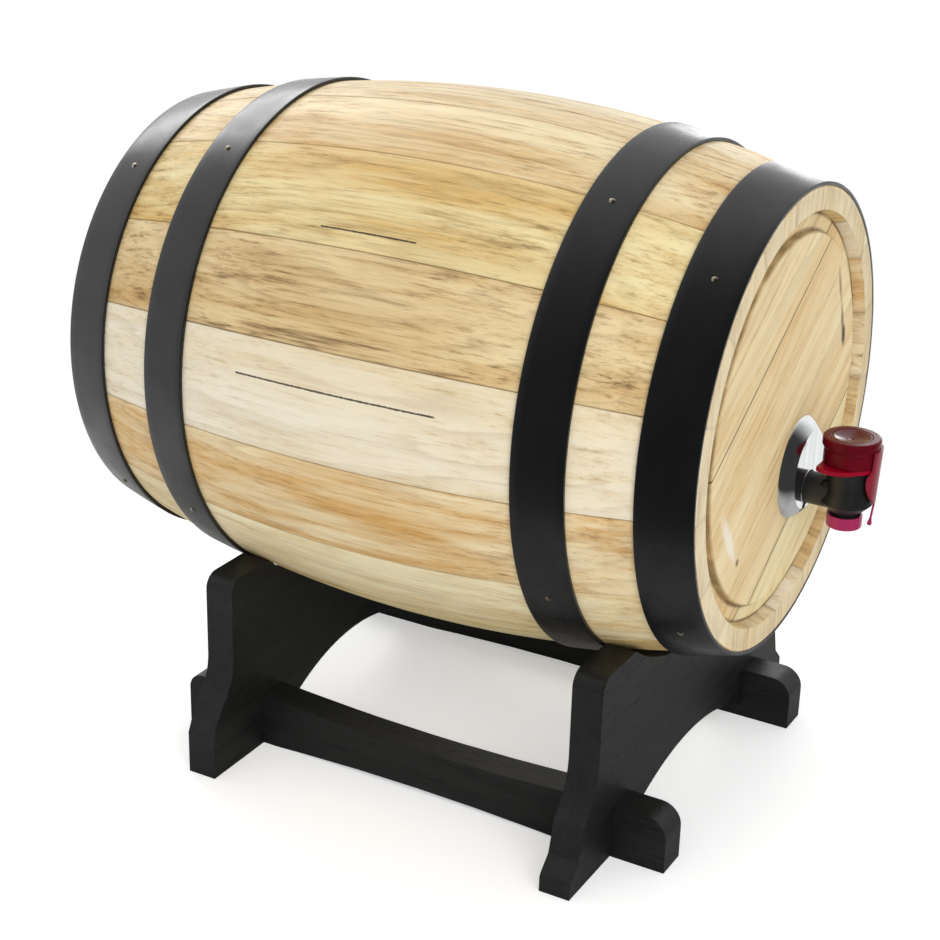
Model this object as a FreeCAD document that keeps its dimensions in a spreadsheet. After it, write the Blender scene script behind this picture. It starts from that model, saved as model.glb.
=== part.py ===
import FreeCAD, Part
import math
import os

import Sketcher
from FreeCAD import Placement, Rotation, Vector

# A small wooden cask on a black stand, with a push-button tap for the wine bag inside it.
# Frame: +Z up, the cask's axis along Y, the tap at -Y. The origin is on the surface that the
# stand rests on, below the middle of the whole object.

SIZES = [
    # the cask
    ("cask_length", 350.0, "length of the staves, chime to chime"),
    ("bilge_radius", 138.0, "outside radius of the wood at the middle"),
    ("end_radius", 114.4, "outside radius of the wood at both chimes"),
    ("stave_wall", 11.0, "thickness of a stave at the middle"),
    ("axis_height", 210.0, "height of the cask's axis above the floor"),
    ("stave_count", 17, "number of staves round the cask"),
    ("first_joint", 10.4, "angle from the top to the first stave joint, in degrees"),
    ("chime_radius", 103.0, "inside radius of the staves at their end faces"),
    ("head_opening", 101.3, "inside radius of the staves where a head sits"),
    ("front_recess", 6.0, "depth of the head's rim below the front chime"),
    ("croze_rim", 2.0, "width of the wood between a head's rim face and its groove"),
    ("croze_depth", 3.6, "depth of the groove that holds a head"),
    ("croze_width", 5.0, "width of the groove that holds a head"),
    ("howel_radius", 106.0, "inside radius of the staves just past a croze"),
    ("howel_length", 13.0, "length of the slope between croze and wall"),
    # hoops
    ("hoop_gauge", 2.0, "thickness of a steel hoop"),
    ("chime_hoop_width", 26.5, "width of the two hoops at the ends"),
    ("bilge_hoop_width", 25.5, "width of the two hoops nearer the middle"),
    ("front_hoop_inset", 70.4, "middle of the front bilge hoop, from the front chime"),
    ("rear_hoop_inset", 70.8, "middle of the rear bilge hoop, from the rear chime"),
    ("hoop_nail_count", 4, "nails in each hoop"),
    ("rear_chime_nail", 38.7, "angle from the top to the rear chime hoop's first nail"),
    ("rear_bilge_nail", 33.4, "angle from the top to the rear bilge hoop's first nail"),
    ("front_bilge_nail", 30.5, "angle from the top to the front bilge hoop's first nail"),
    ("front_chime_nail", 41.6, "angle from the top to the front chime hoop's first nail"),
    ("nail_head_radius", 1.6, "radius of a hoop nail's domed head"),
    ("nail_head_height", 0.9, "height of a hoop nail's domed head"),
    ("nail_shank_radius", 0.8, "radius of a hoop nail's shank"),
    ("nail_length", 8.0, "length of a hoop nail under its head"),
    ("nail_point", 1.4, "length of a hoop nail's point"),
    ("nail_sink", 0.3, "depth of a nail head's seat in its hoop"),
    # front head
    ("board_turn", 31.6, "angle of the head boards from level, in degrees"),
    ("head_thickness", 12.0, "thickness of the head at its raised panel"),
    ("panel_radius", 92.4, "radius of the raised panel"),
    ("panel_step", 3.6, "height of the raised panel above its rim"),
    ("board_gap", 0.3, "gap that shrinkage leaves between boards"),
    ("panel_bevel", 0.8, "width of the bevel round the raised panel"),
    ("upper_joint", 48.3, "distance from the head's middle to its upper board joint"),
    ("lower_joint", 56.6, "distance from the head's middle to its lower board joint"),
    ("dowel_radius", 2.5, "radius of the dowels between boards"),
    ("dowel_length", 24.0, "length of the dowels between boards"),
    ("dowel_spacing", 96.0, "distance between the two dowels of a joint"),
    # tap: places
    ("tap_offset", 22.5, "tap's distance to the right of the cask's axis"),
    ("tube_drop", 41.0, "tap tube's distance below the cask's axis"),
    ("tap_reach", 26.6, "distance from the head's panel to the tap's upright axis"),
    ("cap_rise", 31.5, "height of the cap's top above the tube's axis"),
    # tap: gland
    ("plate_radius", 26.8, "radius of the steel cover plate on the wood"),
    ("plate_gauge", 0.8, "thickness of the cover plate's steel"),
    ("plate_shoulder", 6.0, "radius of the cover plate's round shoulder"),
    ("plate_slit", 4.2, "width of the slit below the tube in the cover plate"),
    ("plate_corner", 5.5, "radius of the cover plate's corners beside the slit"),
    ("plate_slit_turn", 22.0, "angle of the slit from straight down, in degrees"),
    ("collar_depth", 5.6, "thickness of the black collar inside the cover plate"),
    ("collar_rise", 9.3, "height of the collar's middle above the tube's axis"),
    ("spout_radius", 13.6, "outside radius of the bag's spout"),
    ("spout_flange", 21.0, "radius of the spout's flange behind the head"),
    ("spout_flange_gauge", 2.4, "thickness of the spout's flange"),
    ("spout_bore", 8.28, "radius of the spout's bore, round the tap's tube"),
    ("spout_proud", 3.0, "how far the spout stands out of the head's panel"),
    # tap: body
    ("tube_radius", 8.2, "outside radius of the tap's tube"),
    ("tube_bore", 5.6, "radius of the channel in the tap's tube"),
    ("tube_entry", 13.5, "how far the tap's tube goes into the head"),
    ("ring_groove_depth", 1.1, "depth of the groove for the tube's sealing ring"),
    ("ring_groove_width", 2.2, "width of the groove for the tube's sealing ring"),
    ("cap_radius", 14.4, "radius of the cap's rim"),
    ("cap_rim_height", 4.6, "height of the cap's rim"),
    ("cap_neck_radius", 13.4, "radius of the cap below its rim"),
    ("cap_height", 13.7, "height of the cap"),
    ("cap_wall", 1.4, "wall of the cap"),
    ("cap_bead_height", 1.3, "height of the bead inside the cap that grips the neck's lip"),
    ("button_radius", 9.7, "radius of the push button"),
    ("button_gap", 0.25, "gap round the push button"),
    ("button_dish", 2.6, "depth of the hollow in the push button"),
    ("button_flange", 1.8, "thickness of the flange that keeps the button in"),
    ("wing_gauge", 2.3, "thickness of the finger wings"),
    ("wing_bow", 13.4, "radius of a finger wing's outer edge"),
    ("wing_front", 7.4, "distance of the wings' front edge from the tap's axis"),
    ("wing_front_half", 11.0, "half of the wings' span at their front edge"),
    ("wing_back", 12.3, "distance of the wings' back edge from the tap's axis"),
    ("wing_back_half", 14.9, "half of the wings' span at their back edge"),
    ("wing_corner", 1.6, "radius of the wings' corners"),
    ("neck_height", 3.0, "height of the body's neck inside the cap"),
    ("neck_gap", 0.3, "gap between the body's neck and the cap"),
    ("snug_gap", 0.05, "gap between pieces that are pushed together"),
    ("neck_lip", 0.9, "how far the neck's lip stands out to hold the cap"),
    ("cap_corner", 1.2, "radius of the round edges of cap and button"),
    ("valve_gap", 0.8, "height of the outlet's ceiling above the body's base"),
    ("seat_gauge", 1.8, "thickness of the wall with the valve's seat"),
    ("seat_gap", 0.2, "gap between the valve and its seat"),
    ("valve_depth", 1.8, "thickness of the valve"),
    ("running_gap", 0.06, "gap round a piece that slides in a hole"),
    ("dome_gauge", 0.8, "thickness of the rubber dome"),
    ("dome_crown", 4.5, "radius of the rubber dome's top"),
    ("tear_lean", 6.0, "how far the tear tab leans towards the body, in degrees"),
    ("tear_length", 3.4, "how far the ball hangs below the tap's body"),
    ("dust_cap_grip", 1.6, "height of the dust cap's grip on the outlet"),
    ("body_radius", 11.2, "radius of the tap's body under the wings"),
    ("body_waist", 10.2, "smallest radius of the tap's body"),
    ("waist_rise", 4.5, "height of the body's waist above the tube's axis"),
    ("body_bulge", 13.0, "radius of the bulge low on the tap's body"),
    ("bulge_drop", 3.0, "depth of the bulge's widest place below the tube's axis"),
    ("bulge_roll", 1.5, "how much smaller the body is where it turns in under the bulge"),
    ("body_drop", 9.6, "how far the tap's body reaches below the tube's axis"),
    ("nozzle_radius", 6.3, "outside radius of the outlet"),
    ("nozzle_bore", 4.9, "radius of the outlet's bore"),
    ("nozzle_length", 5.0, "length of the outlet below the body"),
    ("chamber_bore", 7.2, "radius of the chamber in the tap's body"),
    ("valve_seat", 3.6, "radius of the hole that the valve closes"),
    ("stem_radius", 1.8, "radius of the valve's stem"),
    ("vent_radius", 2.4, "radius of the air vent in the tube"),
    ("vent_depth", 1.6, "depth of the air vent"),
    ("vent_turn", 44.0, "angle from the top of the tube to the air vent, in degrees"),
    ("vent_reach", 9.5, "distance of the air vent behind the tap's upright axis"),
    ("dust_cap_radius", 8.9, "outside radius of the outlet's dust cap"),
    ("dust_cap_height", 6.6, "height of the dust cap"),
    ("dust_cap_wall", 1.1, "wall of the dust cap"),
    ("dust_cap_rest", 0.5, "gap between the outlet's end and the dust cap's floor"),
    ("tamper_radius", 14.5, "inside radius of the tamper panel at its top"),
    ("tamper_gauge", 1.0, "thickness of the tamper panel"),
    ("tamper_gap", 0.35, "gap between the tamper panel and the bulge of the body"),
    ("tamper_drop", 1.4, "depth of the tamper panel's tip below the tube's axis"),
    ("tamper_sweep", 90.0, "angle of the shell that the tamper panel is cut from, in degrees"),
    ("tamper_turn", 8.0, "how far the tamper panel is turned to the right, in degrees"),
    ("tamper_width", 14.0, "width of the tamper panel at its top"),
    ("tamper_shoulder", 18.6, "greatest width of the tamper panel"),
    ("shoulder_rise", 14.2, "height of its greatest width above the tube's axis"),
    ("tamper_tip", 4.4, "width of the tamper panel at its bottom"),
    ("tamper_side", 17.0, "radius of the tamper panel's round sides"),
    ("tear_radius", 0.55, "radius of the tear tab's strip"),
    ("tear_ball", 1.2, "radius of the ball at the end of the tear tab"),
    ("tear_taper", 3.0, "length over which the ball narrows to the strip"),
    # rear lid
    ("lid_recess", 9.0, "depth of the rear lid below the rear chime"),
    ("lid_thickness", 9.0, "thickness of the rear lid's boards"),
    ("lid_gap", 0.9, "gap round the rear lid"),
    ("lid_board", 62.0, "width of the lid's middle board"),
    ("stop_width", 7.0, "width of the ring that the lid rests on"),
    ("stop_thickness", 6.0, "thickness of the ring that the lid rests on"),
    ("finger_hole", 13.0, "radius of the finger hole in the lid"),
    ("finger_rise", 56.0, "height of the finger hole above the lid's middle"),
    ("batten_width", 18.0, "width of a batten behind the lid"),
    ("batten_thickness", 8.0, "thickness of a batten behind the lid"),
    ("batten_length", 142.0, "length of a batten behind the lid"),
    ("batten_spacing", 70.0, "distance between the two battens"),
    ("batten_screw_radius", 1.6, "radius of a lid screw's shank"),
    ("batten_screw_head", 3.2, "radius of a lid screw's head"),
    ("batten_head_depth", 1.8, "thickness of a lid screw's head"),
    ("batten_screw_length", 13.4, "length of a lid screw"),
    ("lid_rest", 0.1, "gap between the closed lid and the ring behind it"),
    ("magnet_radius", 2.0, "radius of a lid magnet and of its keeper"),
    ("magnet_depth", 4.0, "thickness of a lid magnet"),
    ("keeper_depth", 1.5, "thickness of the steel disc that a magnet holds"),
    # wine bag
    ("bag_gap", 3.0, "gap between the filled bag and the staves"),
    ("bag_front", 6.0, "gap between the bag and the spout's flange"),
    ("bag_rear_gap", 77.2, "distance from the filled bag's rear end to the rear chime"),
    ("bag_level", 6.0, "height of the filled bag's top below the cask's axis"),
    ("bag_corner", 14.0, "radius of the bag's edges round its level top"),
    ("bag_neck", 11.0, "radius of the bag's neck at the spout"),
    # stand
    ("cradle_thickness", 16.4, "thickness of a cradle"),
    ("front_cradle_inset", 49.0, "middle of the front cradle, from the front chime"),
    ("rear_cradle_inset", 92.4, "middle of the rear cradle, from the rear chime"),
    ("cradle_height", 107.0, "height of the cradles' horns"),
    ("foot_half", 137.0, "half of the span of a cradle's feet"),
    ("front_toe", 9.0, "height of the upright end of a front foot"),
    ("front_ankle_half", 128.5, "half of the front cradle's width at its ankles"),
    ("front_ankle", 17.0, "height of the front cradle's ankles"),
    ("front_calf_half", 124.0, "half of the front cradle's width where its side turns up"),
    ("front_calf", 33.0, "height where the front cradle's side turns up"),
    ("front_waist_half", 111.0, "half of the front cradle's narrowest width"),
    ("rear_toe", 23.5, "height of the upright end of a rear foot"),
    ("rear_ankle_half", 133.5, "half of the rear cradle's width at its ankles"),
    ("rear_ankle", 31.0, "height of the rear cradle's ankles"),
    ("rear_calf_half", 128.3, "half of the rear cradle's width where its side turns up"),
    ("rear_calf", 39.0, "height where the rear cradle's side turns up"),
    ("rear_waist_half", 118.2, "half of the rear cradle's narrowest width"),
    ("waist_height", 62.0, "height where a cradle is narrowest"),
    ("toe_corner", 4.0, "radius of the corner on top of a foot"),
    ("horn_corner", 8.0, "radius of a horn's outer corner"),
    ("front_arch", 25.0, "height of the arch under the front cradle"),
    ("rear_arch", 31.5, "height of the arch under the rear cradle"),
    ("arch_spring", 6.5, "height where an arch meets the stretchers"),
    ("saddle_gap", 0.3, "gap between a cradle's saddle and the staves"),
    ("stretcher_gauge", 18.4, "thickness of a stretcher"),
    ("stretcher_half", 92.2, "distance from the middle to a stretcher's outer face"),
    ("stretcher_height", 29.0, "height of a stretcher at its ends"),
    ("stretcher_dip", 3.6, "how much lower a stretcher's top is between the cradles"),
    ("stretcher_relief", 2.6, "height of the hollow under a stretcher"),
    ("stretcher_nose", 37.4, "reach of a stretcher in front of the front cradle's middle"),
    ("stretcher_tail", 41.0, "reach of a stretcher behind the rear cradle's middle"),
    ("nose_corner", 11.0, "radius of a stretcher's front top corner"),
    ("tail_corner", 8.5, "radius of a stretcher's rear top corner"),
    ("lap_height", 13.5, "height of the halving joints in the stand"),
    ("screw_head_radius", 4.0, "radius of a stand screw's head"),
    ("screw_head_depth", 3.0, "depth of a stand screw's head"),
    ("screw_inset", 1.2, "how deep the screws' heads are sunk under the stand"),
    ("screw_radius", 2.0, "radius of a stand screw's shank"),
    ("screw_length", 34.0, "length of a stand screw"),
]

# How much wider or narrower than the mean the first staves are, in degrees.
STAVE_DIFFERENCES = (-1.5, 1.9, -0.6, 1.9, 0.4)

doc = FreeCAD.newDocument("cask_dispenser")
sheet = doc.addObject("Spreadsheet::Sheet", "Sizes")
for row, (alias, value, meaning) in enumerate(SIZES, start=1):
    sheet.set(f"A{row}", alias)
    sheet.set(f"B{row}", str(value))
    sheet.set(f"C{row}", meaning)
    sheet.setAlias(f"B{row}", alias)
doc.recompute()

ALIASES = {alias for alias, _, _ in SIZES}

finished = []


def size(alias):
    """Value of a driving dimension."""
    return float(sheet.get(alias))


def expr(text):
    """Expression text in which every driving dimension is read from the sheet."""
    words = []
    word = ""
    for letter in text + " ":
        if letter.isalnum() or letter == "_":
            word += letter
            continue
        words.append(f"Sizes.{word}" if word in ALIASES else word)
        words.append(letter)
        word = ""
    return "".join(words).strip()


def number(text):
    """Value of an expression in the driving dimensions."""
    return float(sheet.evalExpression(expr(text)))


def finish(thing, label):
    """Name a finished sub-part and keep it for writing."""
    thing.Label = label
    finished.append(thing)
    return thing


# ---------------------------------------------------------------- sketches and features


def make_body(name):
    """An empty body that may hold several separate solids."""
    body = doc.addObject("PartDesign::Body", name)
    if hasattr(body, "AllowCompound"):
        body.AllowCompound = True
    return body


def place(thing, x="0", y="0", z="0", axis=None, turn=None):
    """Bind a body's placement to the sheet."""
    if axis is not None:
        thing.Placement = Placement(Vector(0, 0, 0), Rotation(axis, number(turn)))
        thing.setExpression("Placement.Rotation.Angle", expr(turn))
    for letter, text in (("x", x), ("y", f"{y} + {SHIFT}"), ("z", z)):
        if text != "0":
            thing.setExpression(f"Placement.Base.{letter}", expr(text))
    return thing


def make_sketch(body, role, offset="0"):
    """A sketch on one of the body's own origin planes, raised along the plane's normal."""
    plane = next(item for item in body.Origin.OriginFeatures if item.Role == role)
    sketch = body.newObject("Sketcher::SketchObject", body.Name + "_sketch")
    sketch.AttachmentSupport = [(plane, "")]
    sketch.MapMode = "FlatFace"
    if offset != "0":
        sketch.setExpression("AttachmentOffset.Base.z", expr(offset))
    return sketch


def bind(sketch, kind, first, second, text):
    """A distance constraint bound to the sheet; the smaller end comes first."""
    value = number(text)
    if value < 0:
        first, second, text, value = second, first, f"-({text})", -value
    index = sketch.addConstraint(Sketcher.Constraint(kind, *first, *second, value))
    sketch.setExpression(f"Constraints[{index}]", expr(text))


def draw_outline(sketch, steps):
    """Closed outline of lines and arcs.

    A step is (x, y) for a line to the next step, or (x, y, radius) for an arc to it: the
    outline turns left along the arc where the radius has no minus, and right where it has.
    """
    places = [(number(step[0]), number(step[1])) for step in steps]
    first = sketch.GeometryCount
    for index, step in enumerate(steps):
        start = Vector(*places[index], 0)
        end = Vector(*places[(index + 1) % len(steps)], 0)
        if len(step) == 2:
            sketch.addGeometry(Part.LineSegment(start, end), False)
            continue
        leftward = not step[2].startswith("-")
        radius = number(step[2].lstrip("-"))
        chord = end - start
        half = chord.Length / 2
        rise = radius - math.sqrt(max(radius * radius - half * half, 0.0))
        side = Vector(chord.y, -chord.x, 0).normalize()
        middle = (start + end) / 2 + side * (rise if leftward else -rise)
        sketch.addGeometry(Part.Arc(start, middle, end), False)
    count = len(steps)
    for index, step in enumerate(steps):
        geometry = first + index
        following = first + (index + 1) % count
        start_point = start_of(sketch, geometry, places[index])
        end_point = 3 - start_point
        next_start = start_of(sketch, following, places[(index + 1) % count])
        joint = Sketcher.Constraint("Coincident", geometry, end_point, following, next_start)
        sketch.addConstraint(joint)
        for kind, axis, text, value in (
            ("DistanceX", -2, step[0], places[index][0]),
            ("DistanceY", -1, step[1], places[index][1]),
        ):
            if value == 0:
                hold = Sketcher.Constraint("PointOnObject", geometry, start_point, axis)
                sketch.addConstraint(hold)
            else:
                bind(sketch, kind, (-1, 1), (geometry, start_point), text)
        if len(step) == 3:
            text = step[2].lstrip("-")
            ring = sketch.addConstraint(Sketcher.Constraint("Radius", geometry, number(text)))
            sketch.setExpression(f"Constraints[{ring}]", expr(text))


def start_of(sketch, geometry, point):
    """1 where a piece of an outline begins at the point, 2 where an arc begins at its far end."""
    begin = sketch.getPoint(geometry, 1)
    return 1 if (begin - Vector(*point, 0)).Length < 1e-6 else 2


def draw_circle(sketch, x, y, radius):
    """A circle whose place and radius are bound to the sheet."""
    centre = Vector(number(x), number(y), 0)
    index = sketch.addGeometry(Part.Circle(centre, Vector(0, 0, 1), number(radius)), False)
    ring = sketch.addConstraint(Sketcher.Constraint("Radius", index, number(radius)))
    sketch.setExpression(f"Constraints[{ring}]", expr(radius))
    for kind, axis, text, value in (("DistanceX", -2, x, centre.x), ("DistanceY", -1, y, centre.y)):
        if value == 0:
            sketch.addConstraint(Sketcher.Constraint("PointOnObject", index, 3, axis))
        else:
            bind(sketch, kind, (-1, 1), (index, 3), text)


def revolve(body, role, steps, axis, angle="360", groove=False):
    """Turn an outline about the sketch's own H or V axis."""
    sketch = make_sketch(body, role)
    draw_outline(sketch, steps)
    kind = "PartDesign::Groove" if groove else "PartDesign::Revolution"
    feature = body.newObject(kind, body.Name + "_turn")
    feature.Profile = sketch
    feature.ReferenceAxis = (sketch, [f"{axis}_Axis"])
    feature.Angle = number(angle)
    feature.setExpression("Angle", expr(angle))
    return feature


def pad(body, role, length, offset="0", steps=None, circles=(), both=False, cut=False, back=False):
    """Raise an outline or circles, or cut them away; both halves of the length if asked."""
    sketch = make_sketch(body, role, offset)
    if steps:
        draw_outline(sketch, steps)
    for circle in circles:
        draw_circle(sketch, *circle)
    feature = body.newObject("PartDesign::Pocket" if cut else "PartDesign::Pad", body.Name + "_pad")
    feature.Profile = sketch
    feature.Length = number(length)
    feature.setExpression("Length", expr(length))
    feature.Midplane = both
    feature.Reversed = back
    return feature


def round_edges(body, base, radius, chosen):
    """Fillet the edges of the base feature for which chosen(edge) holds."""
    doc.recompute()
    names = [f"Edge{i + 1}" for i, edge in enumerate(base.Shape.Edges) if chosen(edge)]
    feature = body.newObject("PartDesign::Fillet", body.Name + "_round")
    feature.Base = (base, names)
    feature.Radius = number(radius)
    feature.setExpression("Radius", expr(radius))
    return feature


def cut_away(thing, tools, name):
    """The thing less its tools, as a chain of boolean cuts."""
    for tool in tools:
        cut = doc.addObject("Part::Cut", name)
        cut.Base = thing
        cut.Tool = tool
        thing = cut
    return thing


def group(shapes, name):
    """Several solids in one sub-part."""
    feature = doc.addObject("Part::Feature", name)
    feature.Shape = Part.makeCompound(shapes)
    return feature


# ---------------------------------------------------------------- shared forms and places

X_AXIS = Vector(1, 0, 0)
Y_AXIS = Vector(0, 1, 0)
Z_AXIS = Vector(0, 0, 1)

# The staves' outside is an arc from chime to chime; this is its radius.
BOW = "(((cask_length/2)^2 + (bilge_radius-end_radius)^2) / (2*(bilge_radius-end_radius)))"


def wood_radius(along, less="0"):
    """Expression of the cask's outside radius at a place along it, less a depth."""
    return f"(bilge_radius - {BOW} + sqrt({BOW}^2 - ({along})^2) - ({less}))"


FRONT = "-cask_length/2"
REAR = "cask_length/2"
RIM_FACE = f"({FRONT} + front_recess)"
PANEL_FACE = f"({RIM_FACE} - panel_step)"
HEAD_BACK = f"({PANEL_FACE} + head_thickness)"
CROZE_FACE = f"({RIM_FACE} + croze_rim)"
LID_FACE = f"({REAR} - lid_recess)"
LID_BACK = f"({LID_FACE} - lid_thickness)"
STOP_FACE = f"({LID_BACK} - lid_rest)"
STOP_BACK = f"({STOP_FACE} - stop_thickness)"

# The staves' inside is an arc between the two howels, deepest at the middle.
HOWEL_START = f"({HEAD_BACK} + howel_length)"
HOWEL_END = f"({STOP_BACK} - howel_length)"
HOWEL_HALF = f"(({HOWEL_END} - {HOWEL_START})/2)"
HOWEL_RISE = "(bilge_radius - stave_wall - howel_radius)"
INNER_BOW = f"(({HOWEL_HALF}^2 + {HOWEL_RISE}^2) / (2*{HOWEL_RISE}))"
INNER_MIDDLE = f"(({HOWEL_START} + {HOWEL_END})/2)"

FRONT_CRADLE = f"({FRONT} + front_cradle_inset)"
REAR_CRADLE = f"({REAR} - rear_cradle_inset)"

# How far a cut runs past the surface that it opens.
PAST = "1"

# Heights and places in the tap's own frame: its origin is where the tube's axis meets the
# upright axis through the button.
TUBE_HEIGHT = "(axis_height - tube_drop)"
TAP_AXIS = f"({PANEL_FACE} - tap_reach)"
CAP_BASE = "(cap_rise - cap_height)"
RIM_BASE = "(cap_rise - cap_rim_height)"
WING_BASE = f"({CAP_BASE} - wing_gauge)"
NECK_TOP = f"({CAP_BASE} + neck_height)"
BODY_BASE = "(-body_drop)"
NOZZLE_END = f"({BODY_BASE} - nozzle_length)"
CAP_BORE = "(cap_neck_radius - cap_wall)"
NECK_RADIUS = f"({CAP_BORE} - neck_gap)"
BUTTON_TOP = "(cap_rise - button_gap)"
BUTTON_SHELF = "(cap_rise - cap_wall - button_gap)"
BUTTON_BASE = f"({BUTTON_SHELF} - button_flange)"
COLLAR_FACE = f"({PANEL_FACE} - collar_depth)"

# The cask's middle stands this far behind the origin, which is midway between the front of
# the tap and the rear chime.
SHIFT = f"((tamper_radius + tamper_gauge - {TAP_AXIS} - cask_length/2)/2)"


# ---------------------------------------------------------------- hoops and their nails


def make_hoop(label, middle, width):
    """A steel band whose inside follows the staves' bow."""
    low = f"({middle} - {width}/2)"
    high = f"({middle} + {width}/2)"
    body = make_body(label)
    steps = [
        (low, wood_radius(low)),
        (low, wood_radius(low, "-hoop_gauge"), f"-({BOW} + hoop_gauge)"),
        (high, wood_radius(high, "-hoop_gauge")),
        (high, wood_radius(high), BOW),
    ]
    revolve(body, "YZ_Plane", steps, "H")
    place(body, z="axis_height")
    return body


HOOPS = {
    "rear_chime_hoop": (f"({REAR} - chime_hoop_width/2)", "chime_hoop_width", "rear_chime_nail"),
    "rear_bilge_hoop": (f"({REAR} - rear_hoop_inset)", "bilge_hoop_width", "rear_bilge_nail"),
    "front_bilge_hoop": (f"({FRONT} + front_hoop_inset)", "bilge_hoop_width", "front_bilge_nail"),
    "front_chime_hoop": (f"({FRONT} + chime_hoop_width/2)", "chime_hoop_width", "front_chime_nail"),
}


def make_nail():
    """One hoop nail, its shank down along Z and the underside of its head at zero."""
    body = make_body("nail_pattern")
    head = "((nail_head_radius^2 + nail_head_height^2) / (2*nail_head_height))"
    steps = [
        ("0", "-nail_length"),
        ("nail_shank_radius", "-nail_length + nail_point"),
        ("nail_shank_radius", "-nail_sink"),
        ("nail_head_radius", "-nail_sink"),
        ("nail_head_radius", "0", head),
        ("0", "nail_head_height"),
    ]
    revolve(body, "XZ_Plane", steps, "V")
    return body


def nail_places():
    """Where every hoop nail stands: on its hoop, square to the bow."""
    spots = []
    for middle, _, first in HOOPS.values():
        along = number(middle)
        radius = number(wood_radius(middle, "-hoop_gauge"))
        lean = math.degrees(math.asin(along / number(f"({BOW} + hoop_gauge)")))
        for index in range(int(size("hoop_nail_count"))):
            turn = -(size(first) + 360.0 * index / size("hoop_nail_count"))
            upright = Placement(Vector(0, along, radius), Rotation(X_AXIS, -lean))
            middle_point = Vector(0, number(SHIFT), size("axis_height"))
            swing = Placement(middle_point, Rotation(Y_AXIS, turn))
            spots.append(swing.multiply(upright))
    return spots


hoops = {name: make_hoop(name + "_band", *data[:2]) for name, data in HOOPS.items()}
nail = make_nail()
doc.recompute()
nails = group([nail.Shape.transformed(spot.toMatrix()) for spot in nail_places()], "nails")
for name, hoop in hoops.items():
    finish(cut_away(hoop, [nails], name + "_holed"), name)
finish(nails, "hoop_nails")


# ---------------------------------------------------------------- staves


def stave_outline():
    """Section of a stave along the cask: bowed outside, croze grooves at both ends."""
    return [
        (FRONT, "chime_radius"),
        (RIM_FACE, "head_opening"),
        (CROZE_FACE, "head_opening"),
        (CROZE_FACE, "head_opening + croze_depth"),
        (f"{CROZE_FACE} + croze_width", "head_opening + croze_depth"),
        (f"{CROZE_FACE} + croze_width", "head_opening"),
        (HEAD_BACK, "head_opening"),
        (HOWEL_START, "howel_radius", f"-{INNER_BOW}"),
        (HOWEL_END, "howel_radius"),
        (STOP_BACK, "head_opening"),
        (STOP_BACK, "head_opening + croze_depth"),
        (STOP_FACE, "head_opening + croze_depth"),
        (STOP_FACE, "head_opening"),
        (LID_FACE, "head_opening"),
        (REAR, "chime_radius"),
        (REAR, "end_radius", BOW),
        (FRONT, "end_radius"),
    ]


def stave_widths():
    """Angle that each stave takes, as expressions; the first ones differ from the mean."""
    known = [f"(360/stave_count + {difference})" for difference in STAVE_DIFFERENCES]
    spare = sum(STAVE_DIFFERENCES)
    others = int(size("stave_count")) - len(known)
    return known + [f"(360/stave_count - {spare}/(stave_count - {len(known)}))"] * others


staves = []
start = "first_joint"
for index, width in enumerate(stave_widths(), start=1):
    body = make_body(f"stave_{index:02d}_blank")
    revolve(body, "YZ_Plane", stave_outline(), "H", angle=width)
    place(body, z="axis_height", axis=Y_AXIS, turn=f"-({start} + {width})")
    start = f"{start} + {width}"
    staves.append(body)
doc.recompute()
for index, body in enumerate(staves, start=1):
    pierced = body.Shape.common(nails.Shape).Volume > 1e-3
    thing = cut_away(body, [nails] if pierced else [], f"stave_{index:02d}_holed")
    finish(thing, f"stave_{index:02d}")


# ---------------------------------------------------------------- front head


def head_outline():
    """Section of the front head: raised panel, rim, and a tongue for the croze groove."""
    rim = "(head_opening - snug_gap)"
    tongue = "(head_opening + croze_depth - saddle_gap)"
    return [
        (PANEL_FACE, "0"),
        (PANEL_FACE, "panel_radius - panel_bevel"),
        (f"{PANEL_FACE} + panel_bevel", "panel_radius"),
        (RIM_FACE, "panel_radius"),
        (RIM_FACE, rim),
        (CROZE_FACE, rim),
        (CROZE_FACE, tongue),
        (f"{CROZE_FACE} + croze_width", tongue),
        (f"{CROZE_FACE} + croze_width", rim),
        (HEAD_BACK, rim),
        (HEAD_BACK, "0"),
    ]


def saw_off(body, edge, upward, reach):
    """Saw a turned head along a level line, and drop what lies above or below it."""
    far = reach if upward else f"-{reach}"
    steps = [(f"-{reach}", edge), (reach, edge), (reach, far), (f"-{reach}", far)]
    return pad(body, "XZ_Plane", f"2*{reach}", steps=steps, both=True, cut=True)


def make_board(label, low, high):
    """One board of the front head, between two joints; None is the head's own edge."""
    body = make_body(label + "_blank")
    revolve(body, "YZ_Plane", head_outline(), "H")
    if high is not None:
        saw_off(body, f"({high} - board_gap/2)", True, "cask_length")
    if low is not None:
        saw_off(body, f"({low} + board_gap/2)", False, "cask_length")
    return place(body, z="axis_height", axis=Y_AXIS, turn="-board_turn")


def make_head_dowels():
    """Two dowels across each joint of the front head, half way through its rim."""
    body = make_body("head_dowels")
    middle = f"(({RIM_FACE} + {HEAD_BACK})/2)"
    for joint in ("upper_joint", "(-lower_joint)"):
        circles = [(x, middle, "dowel_radius") for x in ("-dowel_spacing/2", "dowel_spacing/2")]
        pad(body, "XY_Plane", "dowel_length", offset=joint, circles=circles, both=True)
    return place(body, z="axis_height", axis=Y_AXIS, turn="-board_turn")


def make_spout_hole():
    """The round hole in the head that the bag's spout comes through."""
    body = make_body("spout_hole")
    circle = ("0", "0", "spout_radius + board_gap")
    pad(body, "XZ_Plane", "cask_length", circles=[circle], both=True)
    return place(body, x="tap_offset", y=HEAD_BACK, z=TUBE_HEIGHT)


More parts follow.
